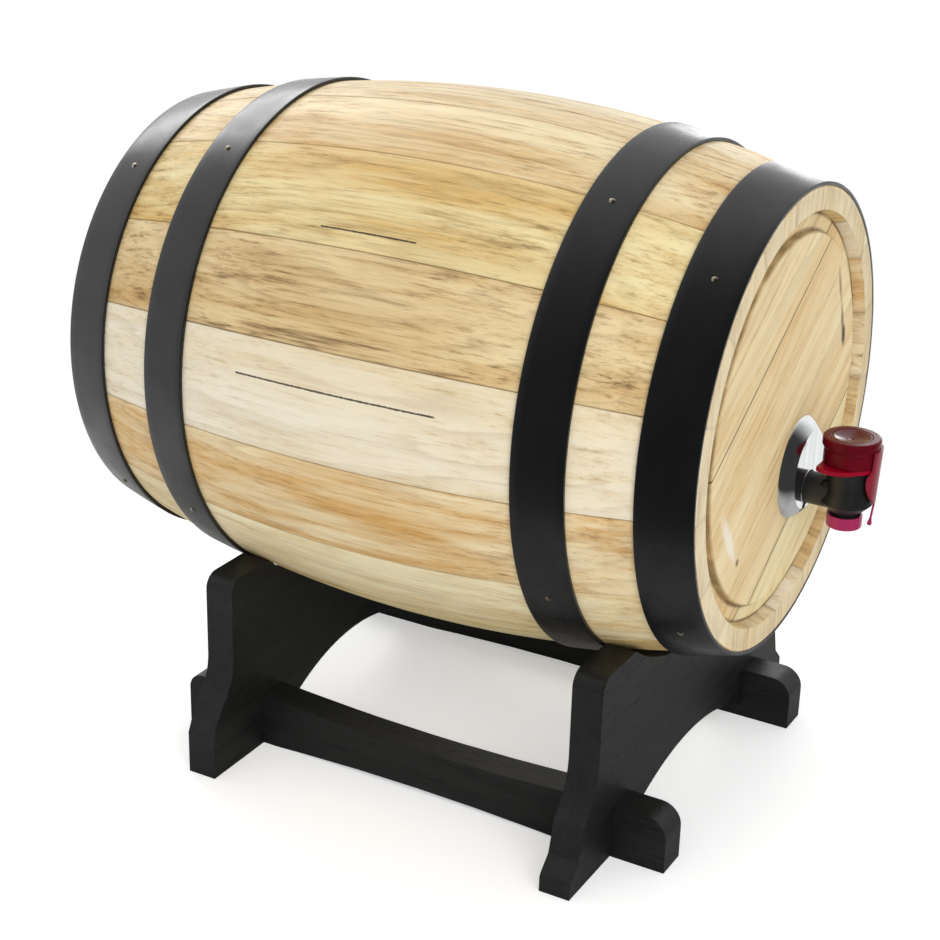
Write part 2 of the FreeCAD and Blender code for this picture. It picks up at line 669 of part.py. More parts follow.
spout_hole = make_spout_hole()
head_dowels = make_head_dowels()
for name, low, high in (
    ("head_board_upper", "upper_joint", None),
    ("head_board_middle", "(-lower_joint)", "upper_joint"),
    ("head_board_lower", None, "(-lower_joint)"),
):
    tools = [head_dowels] if name == "head_board_upper" else [head_dowels, spout_hole]
    finish(cut_away(make_board(name, low, high), tools, name + "_bored"), name)
finish(head_dowels, "head_dowels")


# ---------------------------------------------------------------- gland, collar and wine bag


def make_spout():
    """The bag's spout: a plain sleeve with a flange behind the head."""
    body = make_body("spout_sleeve")
    front = f"({PANEL_FACE} - spout_proud)"
    flange_back = f"({HEAD_BACK} + spout_flange_gauge)"
    steps = [
        (front, "spout_bore"),
        (front, "spout_radius"),
        (HEAD_BACK, "spout_radius"),
        (HEAD_BACK, "spout_flange"),
        (flange_back, "spout_flange"),
        (flange_back, "spout_bore"),
    ]
    revolve(body, "YZ_Plane", steps, "H")
    return place(body, x="tap_offset", z=TUBE_HEIGHT)


SHOULDER_BACK = f"({COLLAR_FACE} - plate_gauge + plate_shoulder)"
SHOULDER_RADIUS = "(plate_radius - plate_shoulder)"


def make_collar():
    """The black collar that fills the cover plate."""
    body = make_body("collar_turned")
    edge = "(plate_radius - plate_gauge - snug_gap)"
    revolve(body, "YZ_Plane", [
        (PANEL_FACE, "0"),
        (PANEL_FACE, edge),
        (SHOULDER_BACK, edge, "plate_shoulder - plate_gauge"),
        (COLLAR_FACE, f"{SHOULDER_RADIUS} - snug_gap"),
        (COLLAR_FACE, "0"),
    ], "H")
    return place(body, x="tap_offset", z=f"{TUBE_HEIGHT} + collar_rise")


def make_collar_cuts():
    """What the collar is cut by: the spout's seat and the tube's hole."""
    seat = make_body("collar_seat")
    circle = ("0", "0", "spout_radius + snug_gap")
    face = f"-({PANEL_FACE} - spout_proud)"
    pad(seat, "XZ_Plane", "collar_depth + spout_proud", offset=face, circles=[circle], back=True)
    hole = make_body("collar_hole")
    circle = ("0", "0", "tube_radius + saddle_gap")
    pad(hole, "XZ_Plane", "cask_length", circles=[circle], both=False)
    for body in (seat, hole):
        place(body, x="tap_offset", z=TUBE_HEIGHT)
    return [seat, hole]


def make_plate():
    """The cover plate: a shallow steel pan with a round shoulder, open at the wood."""
    body = make_body("collar_plate_pan")
    outer_face = f"({COLLAR_FACE} - plate_gauge)"
    revolve(body, "YZ_Plane", [
        (PANEL_FACE, "plate_radius - plate_gauge"),
        (PANEL_FACE, "plate_radius"),
        (SHOULDER_BACK, "plate_radius", "plate_shoulder"),
        (outer_face, SHOULDER_RADIUS),
        (outer_face, "0"),
        (COLLAR_FACE, "0"),
        (COLLAR_FACE, SHOULDER_RADIUS, "-(plate_shoulder - plate_gauge)"),
        (SHOULDER_BACK, "plate_radius - plate_gauge"),
    ], "H")
    return place(body, x="tap_offset", z=f"{TUBE_HEIGHT} + collar_rise")


def make_plate_cuts():
    """What the cover plate is cut by: the tube's hole, and the slit with its round corners."""
    hole = make_body("plate_hole")
    circle = ("0", "0", "tube_radius + 2*saddle_gap")
    pad(hole, "XZ_Plane", "4*collar_depth", circles=[circle], both=True)
    slit = make_body("plate_slit_shape")
    half = "(plate_slit/2)"
    mouth = f"({half} + plate_corner)"
    across = "(collar_rise*sin(plate_slit_turn))"
    edge = f"(collar_rise*cos(plate_slit_turn) - sqrt(plate_radius^2 - {across}^2))"
    pad(slit, "XZ_Plane", "4*collar_depth", steps=[
        (half, "0"),
        (f"-{half}", "0"),
        (f"-{half}", f"{edge} + plate_corner", "-plate_corner"),
        (f"-{mouth}", edge),
        (f"-{mouth}", "-2*plate_radius"),
        (mouth, "-2*plate_radius"),
        (mouth, edge, "-plate_corner"),
        (half, f"{edge} + plate_corner"),
    ], both=True)
    place(hole, x="tap_offset", y=PANEL_FACE, z=TUBE_HEIGHT)
    place(slit, x="tap_offset", y=PANEL_FACE, z=TUBE_HEIGHT, axis=Y_AXIS, turn="plate_slit_turn")
    return [hole, slit]


def inner_radius(along, less):
    """Expression of the staves' inside radius at a place along the cask, less a gap."""
    arc = f"sqrt({INNER_BOW}^2 - ({along} - {INNER_MIDDLE})^2)"
    return f"(bilge_radius - stave_wall - {INNER_BOW} + {arc} - {less})"


def make_bag():
    """The filled wine bag: it lies along the bottom of the cask, level on top."""
    body = make_body("wine_bag_film")
    front = f"({HEAD_BACK} + spout_flange_gauge + bag_front)"
    back = f"({REAR} - bag_rear_gap)"
    top = "(-bag_level)"
    revolve(body, "YZ_Plane", [
        (front, "0"),
        (front, inner_radius(front, "bag_gap"), f"-({INNER_BOW} - bag_gap)"),
        (back, inner_radius(back, "bag_gap")),
        (back, "0"),
    ], "H")
    level = saw_off(body, top, True, "cask_length")
    height = number(top)
    round_edges(body, level, "bag_corner", lambda edge: (
        abs(edge.BoundBox.ZMin - height) < 1e-3 and abs(edge.BoundBox.ZMax - height) < 1e-3
    ))
    neck = f"-({HEAD_BACK} + spout_flange_gauge)"
    circle = ("tap_offset", "-tube_drop", "bag_neck")
    pad(body, "XZ_Plane", "bag_front + bag_corner", offset=neck, circles=[circle], back=True)
    return place(body, z="axis_height")


finish(make_spout(), "spout")
finish(cut_away(make_collar(), make_collar_cuts(), "collar_bored"), "gland_collar")
finish(cut_away(make_plate(), make_plate_cuts(), "plate_slit_cut"), "collar_plate")
finish(make_bag(), "wine_bag")


# ---------------------------------------------------------------- rear lid and its seat


def make_lid_board(label, low, high, holes=()):
    """One board of the rear lid, between two joints; None is the lid's own edge."""
    body = make_body(label)
    radius = "(head_opening - lid_gap)"
    edge = "panel_bevel"
    revolve(body, "YZ_Plane", [
        (LID_BACK, "0"),
        (LID_BACK, radius),
        (f"{LID_FACE} - {edge}", radius),
        (LID_FACE, f"{radius} - {edge}"),
        (LID_FACE, "0"),
    ], "H")
    if high is not None:
        saw_off(body, f"({high} - board_gap/2)", True, "cask_length")
    if low is not None:
        saw_off(body, f"({low} + board_gap/2)", False, "cask_length")
    for hole in holes:
        pad(body, "XZ_Plane", "2*cask_length", circles=[hole], cut=True, both=True)
    return place(body, z="axis_height")


def make_batten(label, side):
    """One of the two battens that hold the lid's boards together from inside."""
    body = make_body(label)
    low = f"({side}*batten_spacing/2 - batten_width/2)"
    high = f"({side}*batten_spacing/2 + batten_width/2)"
    foot = "-batten_length/2"
    head = "batten_length/2"
    steps = [(low, foot), (high, foot), (high, head), (low, head)]
    pad(body, "XZ_Plane", "batten_thickness", offset=f"-{LID_BACK}", steps=steps)
    return place(body, z="axis_height")


def make_stop_ring():
    """The ring in the rear croze that the lid closes against."""
    body = make_body("stop_ring_turned")
    inside = "(head_opening - stop_width)"
    outside = "(head_opening + croze_depth - snug_gap)"
    revolve(body, "YZ_Plane", [
        (STOP_BACK, inside), (STOP_BACK, outside), (STOP_FACE, outside), (STOP_FACE, inside),
    ], "H")
    return place(body, z="axis_height")


def ring_of_discs(name, face, depth):
    """Four flat discs round the lid's edge, from a face of the lid or its seat inwards."""
    body = make_body(name)
    reach = "(head_opening - stop_width/2 - lid_gap/2)"
    side = f"({reach}*cos(45))"
    places = [(f"{x}{side}", f"{z}{side}") for x in ("", "-") for z in ("", "-")]
    circles = [(x, z, "magnet_radius") for x, z in places]
    pad(body, "XZ_Plane", depth, offset=f"-{face}", circles=circles)
    return place(body, z="axis_height")


def make_lid_screws():
    """Six countersunk screws, through the battens into the lid's three boards."""
    body = make_body("lid_screws")
    rise = "(lid_board/2 + batten_length/2)/2"
    back = f"-({LID_BACK} - batten_thickness)"
    for side in ("-1", "1"):
        for height in (f"-({rise})", "0", rise):
            x = f"({side}*batten_spacing/2)"
            pad(body, "XZ_Plane", "batten_screw_length", offset=back,
                circles=[(x, height, "batten_screw_radius")], back=True)
            pad(body, "XZ_Plane", "batten_head_depth", offset=back,
                circles=[(x, height, "batten_screw_head")], back=True)
    return place(body, z="axis_height")


magnets = ring_of_discs("lid_magnets", f"({LID_BACK} + magnet_depth)", "magnet_depth")
keepers = ring_of_discs("lid_keepers", STOP_FACE, "keeper_depth")
lid_screws = make_lid_screws()
finger_hole = ("0", "finger_rise", "finger_hole")
for name, low, high, holes in (
    ("lid_board_upper", "lid_board/2", None, [finger_hole]),
    ("lid_board_middle", "(-lid_board/2)", "lid_board/2", []),
    ("lid_board_lower", None, "(-lid_board/2)", []),
):
    board = make_lid_board(name + "_blank", low, high, holes)
    tools = [lid_screws] if name == "lid_board_middle" else [lid_screws, magnets]
    finish(cut_away(board, tools, name + "_bored"), name)
for name, side in (("lid_batten_left", "-1"), ("lid_batten_right", "1")):
    finish(cut_away(make_batten(name + "_blank", side), [lid_screws], name + "_bored"), name)
finish(cut_away(make_stop_ring(), [keepers], "stop_ring_bored"), "lid_stop_ring")
for thing in (magnets, keepers, lid_screws):
    finish(thing, thing.Name)


# ---------------------------------------------------------------- tap


def place_tap(thing, y="0", z="0", axis=None, turn=None):
    """Put a piece that is drawn in the tap's own frame into the cask's frame."""
    return place(thing, x="tap_offset", y=f"{TAP_AXIS} + {y}", z=f"{TUBE_HEIGHT} + {z}",
                 axis=axis, turn=turn)


def make_tap_body():
    """The black tap body: a waisted barrel with an outlet, on a tube that enters the spout."""
    body = make_body("tap_body_moulding")
    neck = f"({NECK_RADIUS} - neck_lip)"
    revolve(body, "XZ_Plane", [
        ("0", NOZZLE_END),
        ("nozzle_radius", NOZZLE_END),
        ("nozzle_radius", BODY_BASE),
        ("body_bulge - bulge_roll", "-(bulge_drop + bulge_roll)"),
        ("body_bulge", "-bulge_drop"),
        ("body_waist", "waist_rise"),
        ("body_radius", WING_BASE),
        (neck, WING_BASE),
        (neck, f"{NECK_TOP} - neck_height/2"),
        (NECK_RADIUS, f"{NECK_TOP} - neck_height/2"),
        (NECK_RADIUS, NECK_TOP),
        ("0", NECK_TOP),
    ], "V")
    tube = "tap_reach + tube_entry"
    pad(body, "XZ_Plane", tube, circles=[("0", "0", "tube_radius")], back=True)
    chamber_floor = f"({BODY_BASE} + seat_gauge + valve_gap)"
    revolve(body, "XZ_Plane", [
        ("0", f"{NOZZLE_END} - {PAST}"),
        ("nozzle_bore", f"{NOZZLE_END} - {PAST}"),
        ("nozzle_bore", f"{chamber_floor} - seat_gauge"),
        ("valve_seat", f"{chamber_floor} - seat_gauge"),
        ("valve_seat", chamber_floor),
        ("chamber_bore", f"{chamber_floor} + chamber_bore - valve_seat"),
        ("chamber_bore", f"{NECK_TOP} + {PAST}"),
        ("0", f"{NECK_TOP} + {PAST}"),
    ], "V", groove=True)
    pad(body, "XZ_Plane", f"{tube} + {PAST}", circles=[("0", "0", "tube_bore")], cut=True)
    groove_middle = "(tap_reach + tube_entry/2)"
    revolve(body, "YZ_Plane", [
        (f"{groove_middle} - ring_groove_width/2", f"tube_radius + {PAST}"),
        (f"{groove_middle} - ring_groove_width/2", "tube_radius - ring_groove_depth"),
        (f"{groove_middle} + ring_groove_width/2", "tube_radius - ring_groove_depth"),
        (f"{groove_middle} + ring_groove_width/2", f"tube_radius + {PAST}"),
    ], "H", groove=True)
    return place_tap(body)


def make_vent():
    """The shallow round hole for the air vent, square to the tube."""
    body = make_body("tap_body_vent")
    circle = ("0", "vent_reach", "vent_radius")
    pad(body, "XY_Plane", "body_bulge", offset="(tube_radius - vent_depth)", circles=[circle])
    return place_tap(body, axis=Y_AXIS, turn="-vent_turn")


def make_ring_seal():
    """The rubber ring that seals the tap's tube in the spout."""
    body = make_body("tube_seal")
    half = "(ring_groove_depth/2)"
    middle = "(tap_reach + tube_entry/2)"
    centre = f"(tube_radius - {half})"
    sketch = make_sketch(body, "YZ_Plane")
    draw_circle(sketch, middle, centre, half)
    feature = body.newObject("PartDesign::Revolution", "tube_seal_turn")
    feature.Profile = sketch
    feature.ReferenceAxis = (sketch, ["H_Axis"])
    feature.Angle = 360.0
    return place_tap(body)


def make_cap():
    """The cap: a rim over a plain skirt, open at the top for the button."""
    body = make_body("tap_cap_moulding")
    mouth = "(button_radius + button_gap)"
    corner = "cap_corner"
    bead = f"({NECK_RADIUS} - neck_lip + snug_gap)"
    revolve(body, "XZ_Plane", [
        (bead, CAP_BASE),
        ("cap_neck_radius", CAP_BASE),
        ("cap_neck_radius", f"{RIM_BASE} - cap_radius + cap_neck_radius"),
        ("cap_radius", RIM_BASE),
        ("cap_radius", f"cap_rise - {corner}", corner),
        (f"cap_radius - {corner}", "cap_rise"),
        (mouth, "cap_rise"),
        (mouth, "cap_rise - cap_wall"),
        (CAP_BORE, "cap_rise - cap_wall"),
        (CAP_BORE, f"{CAP_BASE} + cap_bead_height"),
        (bead, f"{CAP_BASE} + cap_bead_height"),
    ], "V")
    return place_tap(body)


def make_button():
    """The push button: a dished boss in the cap's mouth, with a flange that keeps it in."""
    body = make_body("push_button_moulding")
    lip = "(button_radius - cap_corner)"
    dish = f"(({lip}^2 + button_dish^2)/(2*button_dish))"
    revolve(body, "XZ_Plane", [
        ("0", BUTTON_BASE),
        (f"{CAP_BORE} - neck_gap", BUTTON_BASE),
        (f"{CAP_BORE} - neck_gap", BUTTON_SHELF),
        ("button_radius", BUTTON_SHELF),
        ("button_radius", f"{BUTTON_TOP} - cap_corner/2"),
        (lip, BUTTON_TOP, f"-{dish}"),
        ("0", f"{BUTTON_TOP} - button_dish"),
    ], "V")
    return place_tap(body)


def make_stem():
    """The valve's stem, from the button down through the chamber to the valve."""
    body = make_body("valve_stem_rod")
    foot = f"({BODY_BASE} + valve_gap - seat_gap)"
    revolve(body, "XZ_Plane", [
        ("0", foot), ("stem_radius", foot), ("stem_radius", BUTTON_BASE), ("0", BUTTON_BASE),
    ], "V")
    return place_tap(body)


def make_valve():
    """The rubber valve under its seat in the outlet, a little clear of it."""
    body = make_body("valve_disc_rubber")
    top = f"({BODY_BASE} + valve_gap - seat_gap)"
    radius = "(nozzle_bore - 2*seat_gap)"
    revolve(body, "XZ_Plane", [
        ("0", f"{top} - valve_depth"),
        (f"{radius} - valve_depth/2", f"{top} - valve_depth"),
        (radius, f"{top} - valve_depth/2"),
        (radius, top),
        ("0", top),
    ], "V")
    return place_tap(body)


def make_stem_seal():
    """The rubber plug that closes the chamber's top round the stem."""
    body = make_body("stem_seal_rubber")
    revolve(body, "XZ_Plane", [
        ("stem_radius + running_gap", f"{NECK_TOP} - neck_height"),
        ("chamber_bore", f"{NECK_TOP} - neck_height"),
        ("chamber_bore", NECK_TOP),
        ("stem_radius + running_gap", NECK_TOP),
    ], "V")
    return place_tap(body)


def make_dome():
    """The rubber dome under the button that pushes it back up."""
    body = make_body("return_dome_rubber")
    foot = "(chamber_bore + dome_gauge)"
    shoulder = f"(({NECK_TOP} + {BUTTON_BASE})/2)"
    revolve(body, "XZ_Plane", [
        (f"{foot} - dome_gauge", NECK_TOP),
        (f"{foot} + dome_gauge", NECK_TOP),
        (f"{foot} - dome_gauge/2", shoulder),
        ("dome_crown", BUTTON_BASE),
        ("dome_crown - dome_gauge", BUTTON_BASE),
        (f"{foot} - 3*dome_gauge/2", shoulder),
    ], "V")
    return place_tap(body)


def make_wings():
    """The finger wings: a ring under the cap with a bowed ledge on each side."""
    body = make_body("finger_wings_moulding")
    steps = [
        ("wing_front_half", "-wing_front", "wing_bow"),
        ("wing_back_half", "wing_back"),
        ("-wing_back_half", "wing_back", "wing_bow"),
        ("-wing_front_half", "-wing_front"),
    ]
    pad(body, "XY_Plane", "wing_gauge", offset=WING_BASE, steps=steps)
    pad(body, "XY_Plane", "wing_gauge", offset=WING_BASE, circles=[("0", "0", "cap_neck_radius")])
    hole = [("0", "0", f"{NECK_RADIUS} - neck_lip + snug_gap")]
    cut = pad(body, "XY_Plane", "3*wing_gauge", offset=WING_BASE, circles=hole, cut=True, both=True)
    corners = (number("wing_front_half"), number("wing_back_half"))
    round_edges(body, cut, "wing_corner", lambda edge: (
        edge.BoundBox.XLength < 1e-6
        and edge.BoundBox.YLength < 1e-6
        and min(abs(abs(edge.BoundBox.XMin) - corner) for corner in corners) < 1e-3
    ))
    return place_tap(body)


def make_tamper_panel():
    """The tamper panel: a curved tongue from the cap's rim down to the body's bulge."""
    shell = make_body("tamper_shell")
    foot = "(-tamper_drop)"
    low = "(body_bulge + tamper_gap)"
    revolve(shell, "XZ_Plane", [
        (low, foot),
        (f"{low} + tamper_gauge", foot),
        ("tamper_radius + tamper_gauge", RIM_BASE),
        ("tamper_radius", RIM_BASE),
    ], "V", angle="tamper_sweep")
    place_tap(shell, axis=Z_AXIS, turn="tamper_turn - 90 - tamper_sweep/2")
    taper = make_body("tamper_taper")
    steps = [
        ("-tamper_tip/2", foot),
        ("tamper_tip/2", foot, "tamper_side"),
        ("tamper_shoulder/2", "shoulder_rise"),
        ("tamper_width/2", CAP_BASE),
        ("tamper_width/2", RIM_BASE),
        ("-tamper_width/2", RIM_BASE),
        ("-tamper_width/2", CAP_BASE),
        ("-tamper_shoulder/2", "shoulder_rise", "tamper_side"),
    ]
    pad(taper, "XZ_Plane", "2*cap_radius", steps=steps)
    place_tap(taper, axis=Z_AXIS, turn="tamper_turn")
    common = doc.addObject("Part::Common", "tamper_panel_cut")
    common.Base = shell
    common.Tool = taper
    return common


def make_tear_tab():
    """The thin strip below the tamper panel, with a ball at its end to pull it by."""
    body = make_body("tear_tab_moulding")
    ball = "(tamper_drop - body_drop - tear_length)"
    top = "(-tear_radius*tan(tear_lean))"
    revolve(body, "XZ_Plane", [
        ("0", f"{ball} - tear_ball", "tear_ball"),
        ("tear_ball", ball),
        ("tear_radius", f"{ball} + tear_taper"),
        ("tear_radius", top),
        ("0", top),
    ], "V")
    reach = "(body_bulge + tamper_gap + tamper_gauge/2)"
    place_tap(body, y=f"(-{reach}*cos(tamper_turn))", z="(-tamper_drop)", axis=X_AXIS,
              turn="tear_lean")
    body.setExpression("Placement.Base.x", expr(f"tap_offset + {reach}*sin(tamper_turn)"))
    return body


def make_dust_cap():
    """The outlet's dust cap: a cup whose floor has a low ring that grips the outlet."""
    body = make_body("dust_cap_moulding")
    floor = f"({NOZZLE_END} - dust_cap_rest)"
    base = f"({floor} - dust_cap_wall)"
    grip = "(nozzle_radius + running_gap)"
    step = f"({NOZZLE_END} + dust_cap_grip)"
    top = f"({base} + dust_cap_height)"
    revolve(body, "XZ_Plane", [
        ("0", base),
        ("dust_cap_radius - dust_cap_wall/2", base),
        ("dust_cap_radius", f"{base} + dust_cap_wall/2"),
        ("dust_cap_radius", top),
        ("dust_cap_radius - dust_cap_wall", top),
        ("dust_cap_radius - dust_cap_wall", step),
        (grip, step),
        (grip, floor),
        ("0", floor),
    ], "V")
    return place_tap(body)


finish(cut_away(make_tap_body(), [make_vent()], "tap_body_vented"), "tap_body")
finish(make_ring_seal(), "tube_ring_seal")
finish(make_cap(), "tap_cap")
finish(make_button(), "push_button")
finish(make_stem(), "valve_stem")
finish(make_valve(), "valve_disc")
finish(make_stem_seal(), "stem_seal")
finish(make_dome(), "return_dome")
finish(make_wings(), "finger_wings")
finish(make_tamper_panel(), "tamper_panel")
finish(make_tear_tab(), "tear_tab")
finish(make_dust_cap(), "dust_cap")


# ---------------------------------------------------------------- stand


def make_cradle(label, end, middle, inboard, arch):
    """A cradle sawn from board: feet, waists, horns with a saddle between, and an arch."""
    body = make_body(label + "_blank")
    saddle = f"({wood_radius(inboard)} + saddle_gap)"
    horn_rise = "(axis_height - cradle_height)"
    horn = f"sqrt({saddle}^2 - {horn_rise}^2)"
    waist = f"{end}_waist_half"
    slope = f"({end}_calf_half - {waist})"
    climb = f"(waist_height - {end}_calf)"
    side_bow = f"(({slope}^2 + {climb}^2)/(2*{slope}))"
    inner = "(stretcher_half - stretcher_gauge)"
    rise = f"({arch} - arch_spring)"
    arch_bow = f"(({inner}^2 + {rise}^2)/(2*{rise}))"
    lap_and_arch = [
        ("stretcher_half", "0"),
        ("stretcher_half", "lap_height"),
        (inner, "lap_height"),
        (inner, "arch_spring", arch_bow),
        (f"-{inner}", "arch_spring"),
        (f"-{inner}", "lap_height"),
        ("-stretcher_half", "lap_height"),
        ("-stretcher_half", "0"),
    ]
    left = [
        ("-foot_half", "0"),
        ("-foot_half", f"{end}_toe"),
        (f"-{end}_ankle_half", f"{end}_ankle"),
        (f"-{end}_calf_half", f"{end}_calf", side_bow),
        (f"-{waist}", "waist_height"),
        (f"-{waist}", "cradle_height"),
    ]
    right = [
        (waist, "cradle_height"),
        (waist, "waist_height", side_bow),
        (f"{end}_calf_half", f"{end}_calf"),
        (f"{end}_ankle_half", f"{end}_ankle"),
        ("foot_half", f"{end}_toe"),
        ("foot_half", "0"),
    ]
    seat = [(f"-{horn}", "cradle_height", saddle), (horn, "cradle_height")]
    steps = lap_and_arch + left + seat + right
    base = pad(body, "XZ_Plane", "cradle_thickness", offset=f"-({middle})", steps=steps, both=True)
    for half, height, radius in (
        (waist, "cradle_height", "horn_corner"),
        ("foot_half", f"{end}_toe", "toe_corner"),
    ):
        base = round_edges(body, base, radius, corner_finder(half, height))
    return place(body)


def corner_finder(half, height):
    """A test for the two edges of a cradle that stand at a corner of its outline."""
    place_x = number(half)
    place_z = number(height)

    def chosen(edge):
        box = edge.BoundBox
        beside = abs(abs(box.XMin) - place_x) < 1e-3 and abs(box.ZMin - place_z) < 1e-3
        return beside and box.XLength < 1e-6 and box.ZLength < 1e-6

    return chosen


def make_stretcher(label, side):
    """A stretcher: round nose and tail, dipped on top, hollow below, notched for the cradles."""
    body = make_body(label + "_blank")
    half = "(cradle_thickness/2)"
    nose = f"({FRONT_CRADLE} - stretcher_nose)"
    tail = f"({REAR_CRADLE} + stretcher_tail)"
    front_low = f"({FRONT_CRADLE} - {half})"
    front_high = f"({FRONT_CRADLE} + {half})"
    rear_low = f"({REAR_CRADLE} - {half})"
    rear_high = f"({REAR_CRADLE} + {half})"
    span = f"(({rear_low} - {front_high})/2)"
    dip = f"(({span}^2 + stretcher_dip^2)/(2*stretcher_dip))"
    hollow = f"({span} - {half})"
    relief = f"(({hollow}^2 + stretcher_relief^2)/(2*stretcher_relief))"
    steps = [
        (nose, "0"),
        (f"{front_high} + {half}", "0", f"-{relief}"),
        (f"{rear_low} - {half}", "0"),
        (tail, "0"),
        (tail, "stretcher_height"),
        (rear_high, "stretcher_height"),
        (rear_high, "lap_height"),
        (rear_low, "lap_height"),
        (rear_low, "stretcher_height", f"-{dip}"),
        (front_high, "stretcher_height"),
        (front_high, "lap_height"),
        (front_low, "lap_height"),
        (front_low, "stretcher_height"),
        (nose, "stretcher_height"),
    ]
    middle = f"({side}*(stretcher_half - stretcher_gauge/2))"
    base = pad(body, "YZ_Plane", "stretcher_gauge", offset=middle, steps=steps, both=True)
    top = number("stretcher_height")
    for end, radius in ((nose, "nose_corner"), (tail, "tail_corner")):
        along = number(end)
        base = round_edges(body, base, radius, lambda edge: (
            edge.BoundBox.YLength < 1e-6
            and abs(edge.BoundBox.ZMin - top) < 1e-6
            and abs(edge.BoundBox.YMin - along) < 1e-3
        ))
    return place(body)


def make_stand_screws():
    """Four countersunk screws, up through the stretchers into the cradles."""
    body = make_body("stand_screws")
    for side in ("-1", "1"):
        x = f"({side}*(stretcher_half - stretcher_gauge/2))"
        for y in (FRONT_CRADLE, REAR_CRADLE):
            pad(body, "XY_Plane", "screw_length", offset="screw_inset",
                circles=[(x, y, "screw_radius")])
            pad(body, "XY_Plane", "screw_head_depth", offset="screw_inset",
                circles=[(x, y, "screw_head_radius")])
    return place(body)


screws = make_stand_screws()
doc.recompute()
screw_holes = make_body("stand_screw_holes")
for side in ("-1", "1"):
    x = f"({side}*(stretcher_half - stretcher_gauge/2))"
    for y in (FRONT_CRADLE, REAR_CRADLE):
        circle = (x, y, "screw_head_radius")
        pad(screw_holes, "XY_Plane", f"screw_inset + {PAST}", offset=f"(-{PAST})",
            circles=[circle])
place(screw_holes)
for end, middle, inboard in (
    ("front", FRONT_CRADLE, f"({FRONT_CRADLE} + cradle_thickness/2)"),
    ("rear", REAR_CRADLE, f"({REAR_CRADLE} - cradle_thickness/2)"),
):
    cradle = make_cradle(f"{end}_cradle", end, middle, inboard, f"{end}_arch")
    finish(cut_away(cradle, [screws], f"{end}_cradle_bored"), f"{end}_cradle")
for name, side in (("left_stretcher", "-1"), ("right_stretcher", "1")):
    tools = [screws, screw_holes]
    finish(cut_away(make_stretcher(name, side), tools, name + "_bored"), name)
finish(screws, "stand_screws")


# ---------------------------------------------------------------- check and write

doc.recompute()
failures = [
    f"{thing.Label}: {thing.State}"
    for thing in doc.Objects
    if "Invalid" in thing.State or "Error" in thing.State
]
if failures:
    raise RuntimeError("failed: " + ", ".join(failures))
for thing in finished:
    if thing.Shape.isNull() or not thing.Shape.isValid() or thing.Shape.Volume <= 0:
        raise RuntimeError(f"{thing.Label} has no valid solid")
os.makedirs("parts", exist_ok=True)
for thing in finished:
    thing.Shape.exportStep(f"parts/{thing.Label}.step")
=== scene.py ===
"""Looks for a small oak cask on a black stand, with a push-button tap in its front head."""

from __future__ import annotations

import logging
import math
from collections.abc import Iterator
from dataclasses import dataclass, replace
from enum import Enum

import bmesh
import bpy
import numpy as np
from mathutils import Euler, Matrix, Vector


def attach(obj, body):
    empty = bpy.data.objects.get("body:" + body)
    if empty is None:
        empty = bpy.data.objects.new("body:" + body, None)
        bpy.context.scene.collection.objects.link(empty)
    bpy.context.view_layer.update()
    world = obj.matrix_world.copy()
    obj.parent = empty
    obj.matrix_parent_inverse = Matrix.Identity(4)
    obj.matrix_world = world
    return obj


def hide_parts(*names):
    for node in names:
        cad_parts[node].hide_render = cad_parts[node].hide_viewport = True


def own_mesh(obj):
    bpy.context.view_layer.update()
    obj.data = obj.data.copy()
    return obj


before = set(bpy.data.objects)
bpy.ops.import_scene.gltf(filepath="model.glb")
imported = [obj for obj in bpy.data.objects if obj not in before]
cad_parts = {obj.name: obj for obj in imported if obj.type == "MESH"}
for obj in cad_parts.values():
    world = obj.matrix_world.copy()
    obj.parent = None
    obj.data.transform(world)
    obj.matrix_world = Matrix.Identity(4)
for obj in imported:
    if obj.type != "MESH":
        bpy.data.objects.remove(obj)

log = logging.getLogger("cask")

Colour = tuple[float, float, float]
Triple = tuple[float, float, float]
Material = bpy.types.Material
Node = bpy.types.Node
Piece = bpy.types.Object
Socket = bpy.types.NodeSocket
Tree = bpy.types.NodeTree

# Every length is in metres. The cask lies along Y.
AXIS_HEIGHT = 0.210
CASK_MIDDLE = 0.01985
CASK_LENGTH = 0.350
BILGE_RADIUS = 0.138
END_RADIUS = 0.1144
STAVE_WALL = 0.011
TAP_X = 0.0225
TAP_Y = -0.17935
TUBE_HEIGHT = 0.169
SWELL = BILGE_RADIUS - END_RADIUS
BOW_RADIUS = ((CASK_LENGTH / 2) ** 2 + SWELL**2) / (2 * SWELL)

BEVEL_PAST = math.radians(30.0)
FLAT_WITHIN = math.radians(1.0)


def paint(code: str) -> Colour:
    """A colour as Blender wants it.

    Args:
        code: six hexadecimal digits, as the eye sees the colour on a screen.

    Returns:
        Red, green and blue in linear light.
    """
    values = (int(code[i : i + 2], 16) / 255 for i in (0, 2, 4))
    return tuple(v / 12.92 if v <= 0.04045 else ((v + 0.055) / 1.055) ** 2.4 for v in values)


# ---------------------------------------------------------------- meshes


def grid_quads(rows: int, columns: int, wrap_rows: bool, wrap_columns: bool) -> np.ndarray:
    """Corner numbers of the quads between neighbouring rows and columns of a grid.

    Args:
        rows: number of rows of points.
        columns: number of points in a row.
        wrap_rows: whether the last row joins the first.
        wrap_columns: whether the last column joins the first.

    Returns:
        One line of four corner numbers for each quad.
    """
    i = np.arange(rows if wrap_rows else rows - 1)[:, None]
    j = np.arange(columns if wrap_columns else columns - 1)[None, :]
    below, beside = (i + 1) % rows, (j + 1) % columns
    i, below = i * columns, below * columns
    corners = (i + j, i + beside, below + beside, below + j)
    return np.stack([np.broadcast_to(c, (i.size, j.size)) for c in corners], -1).reshape(-1, 4)


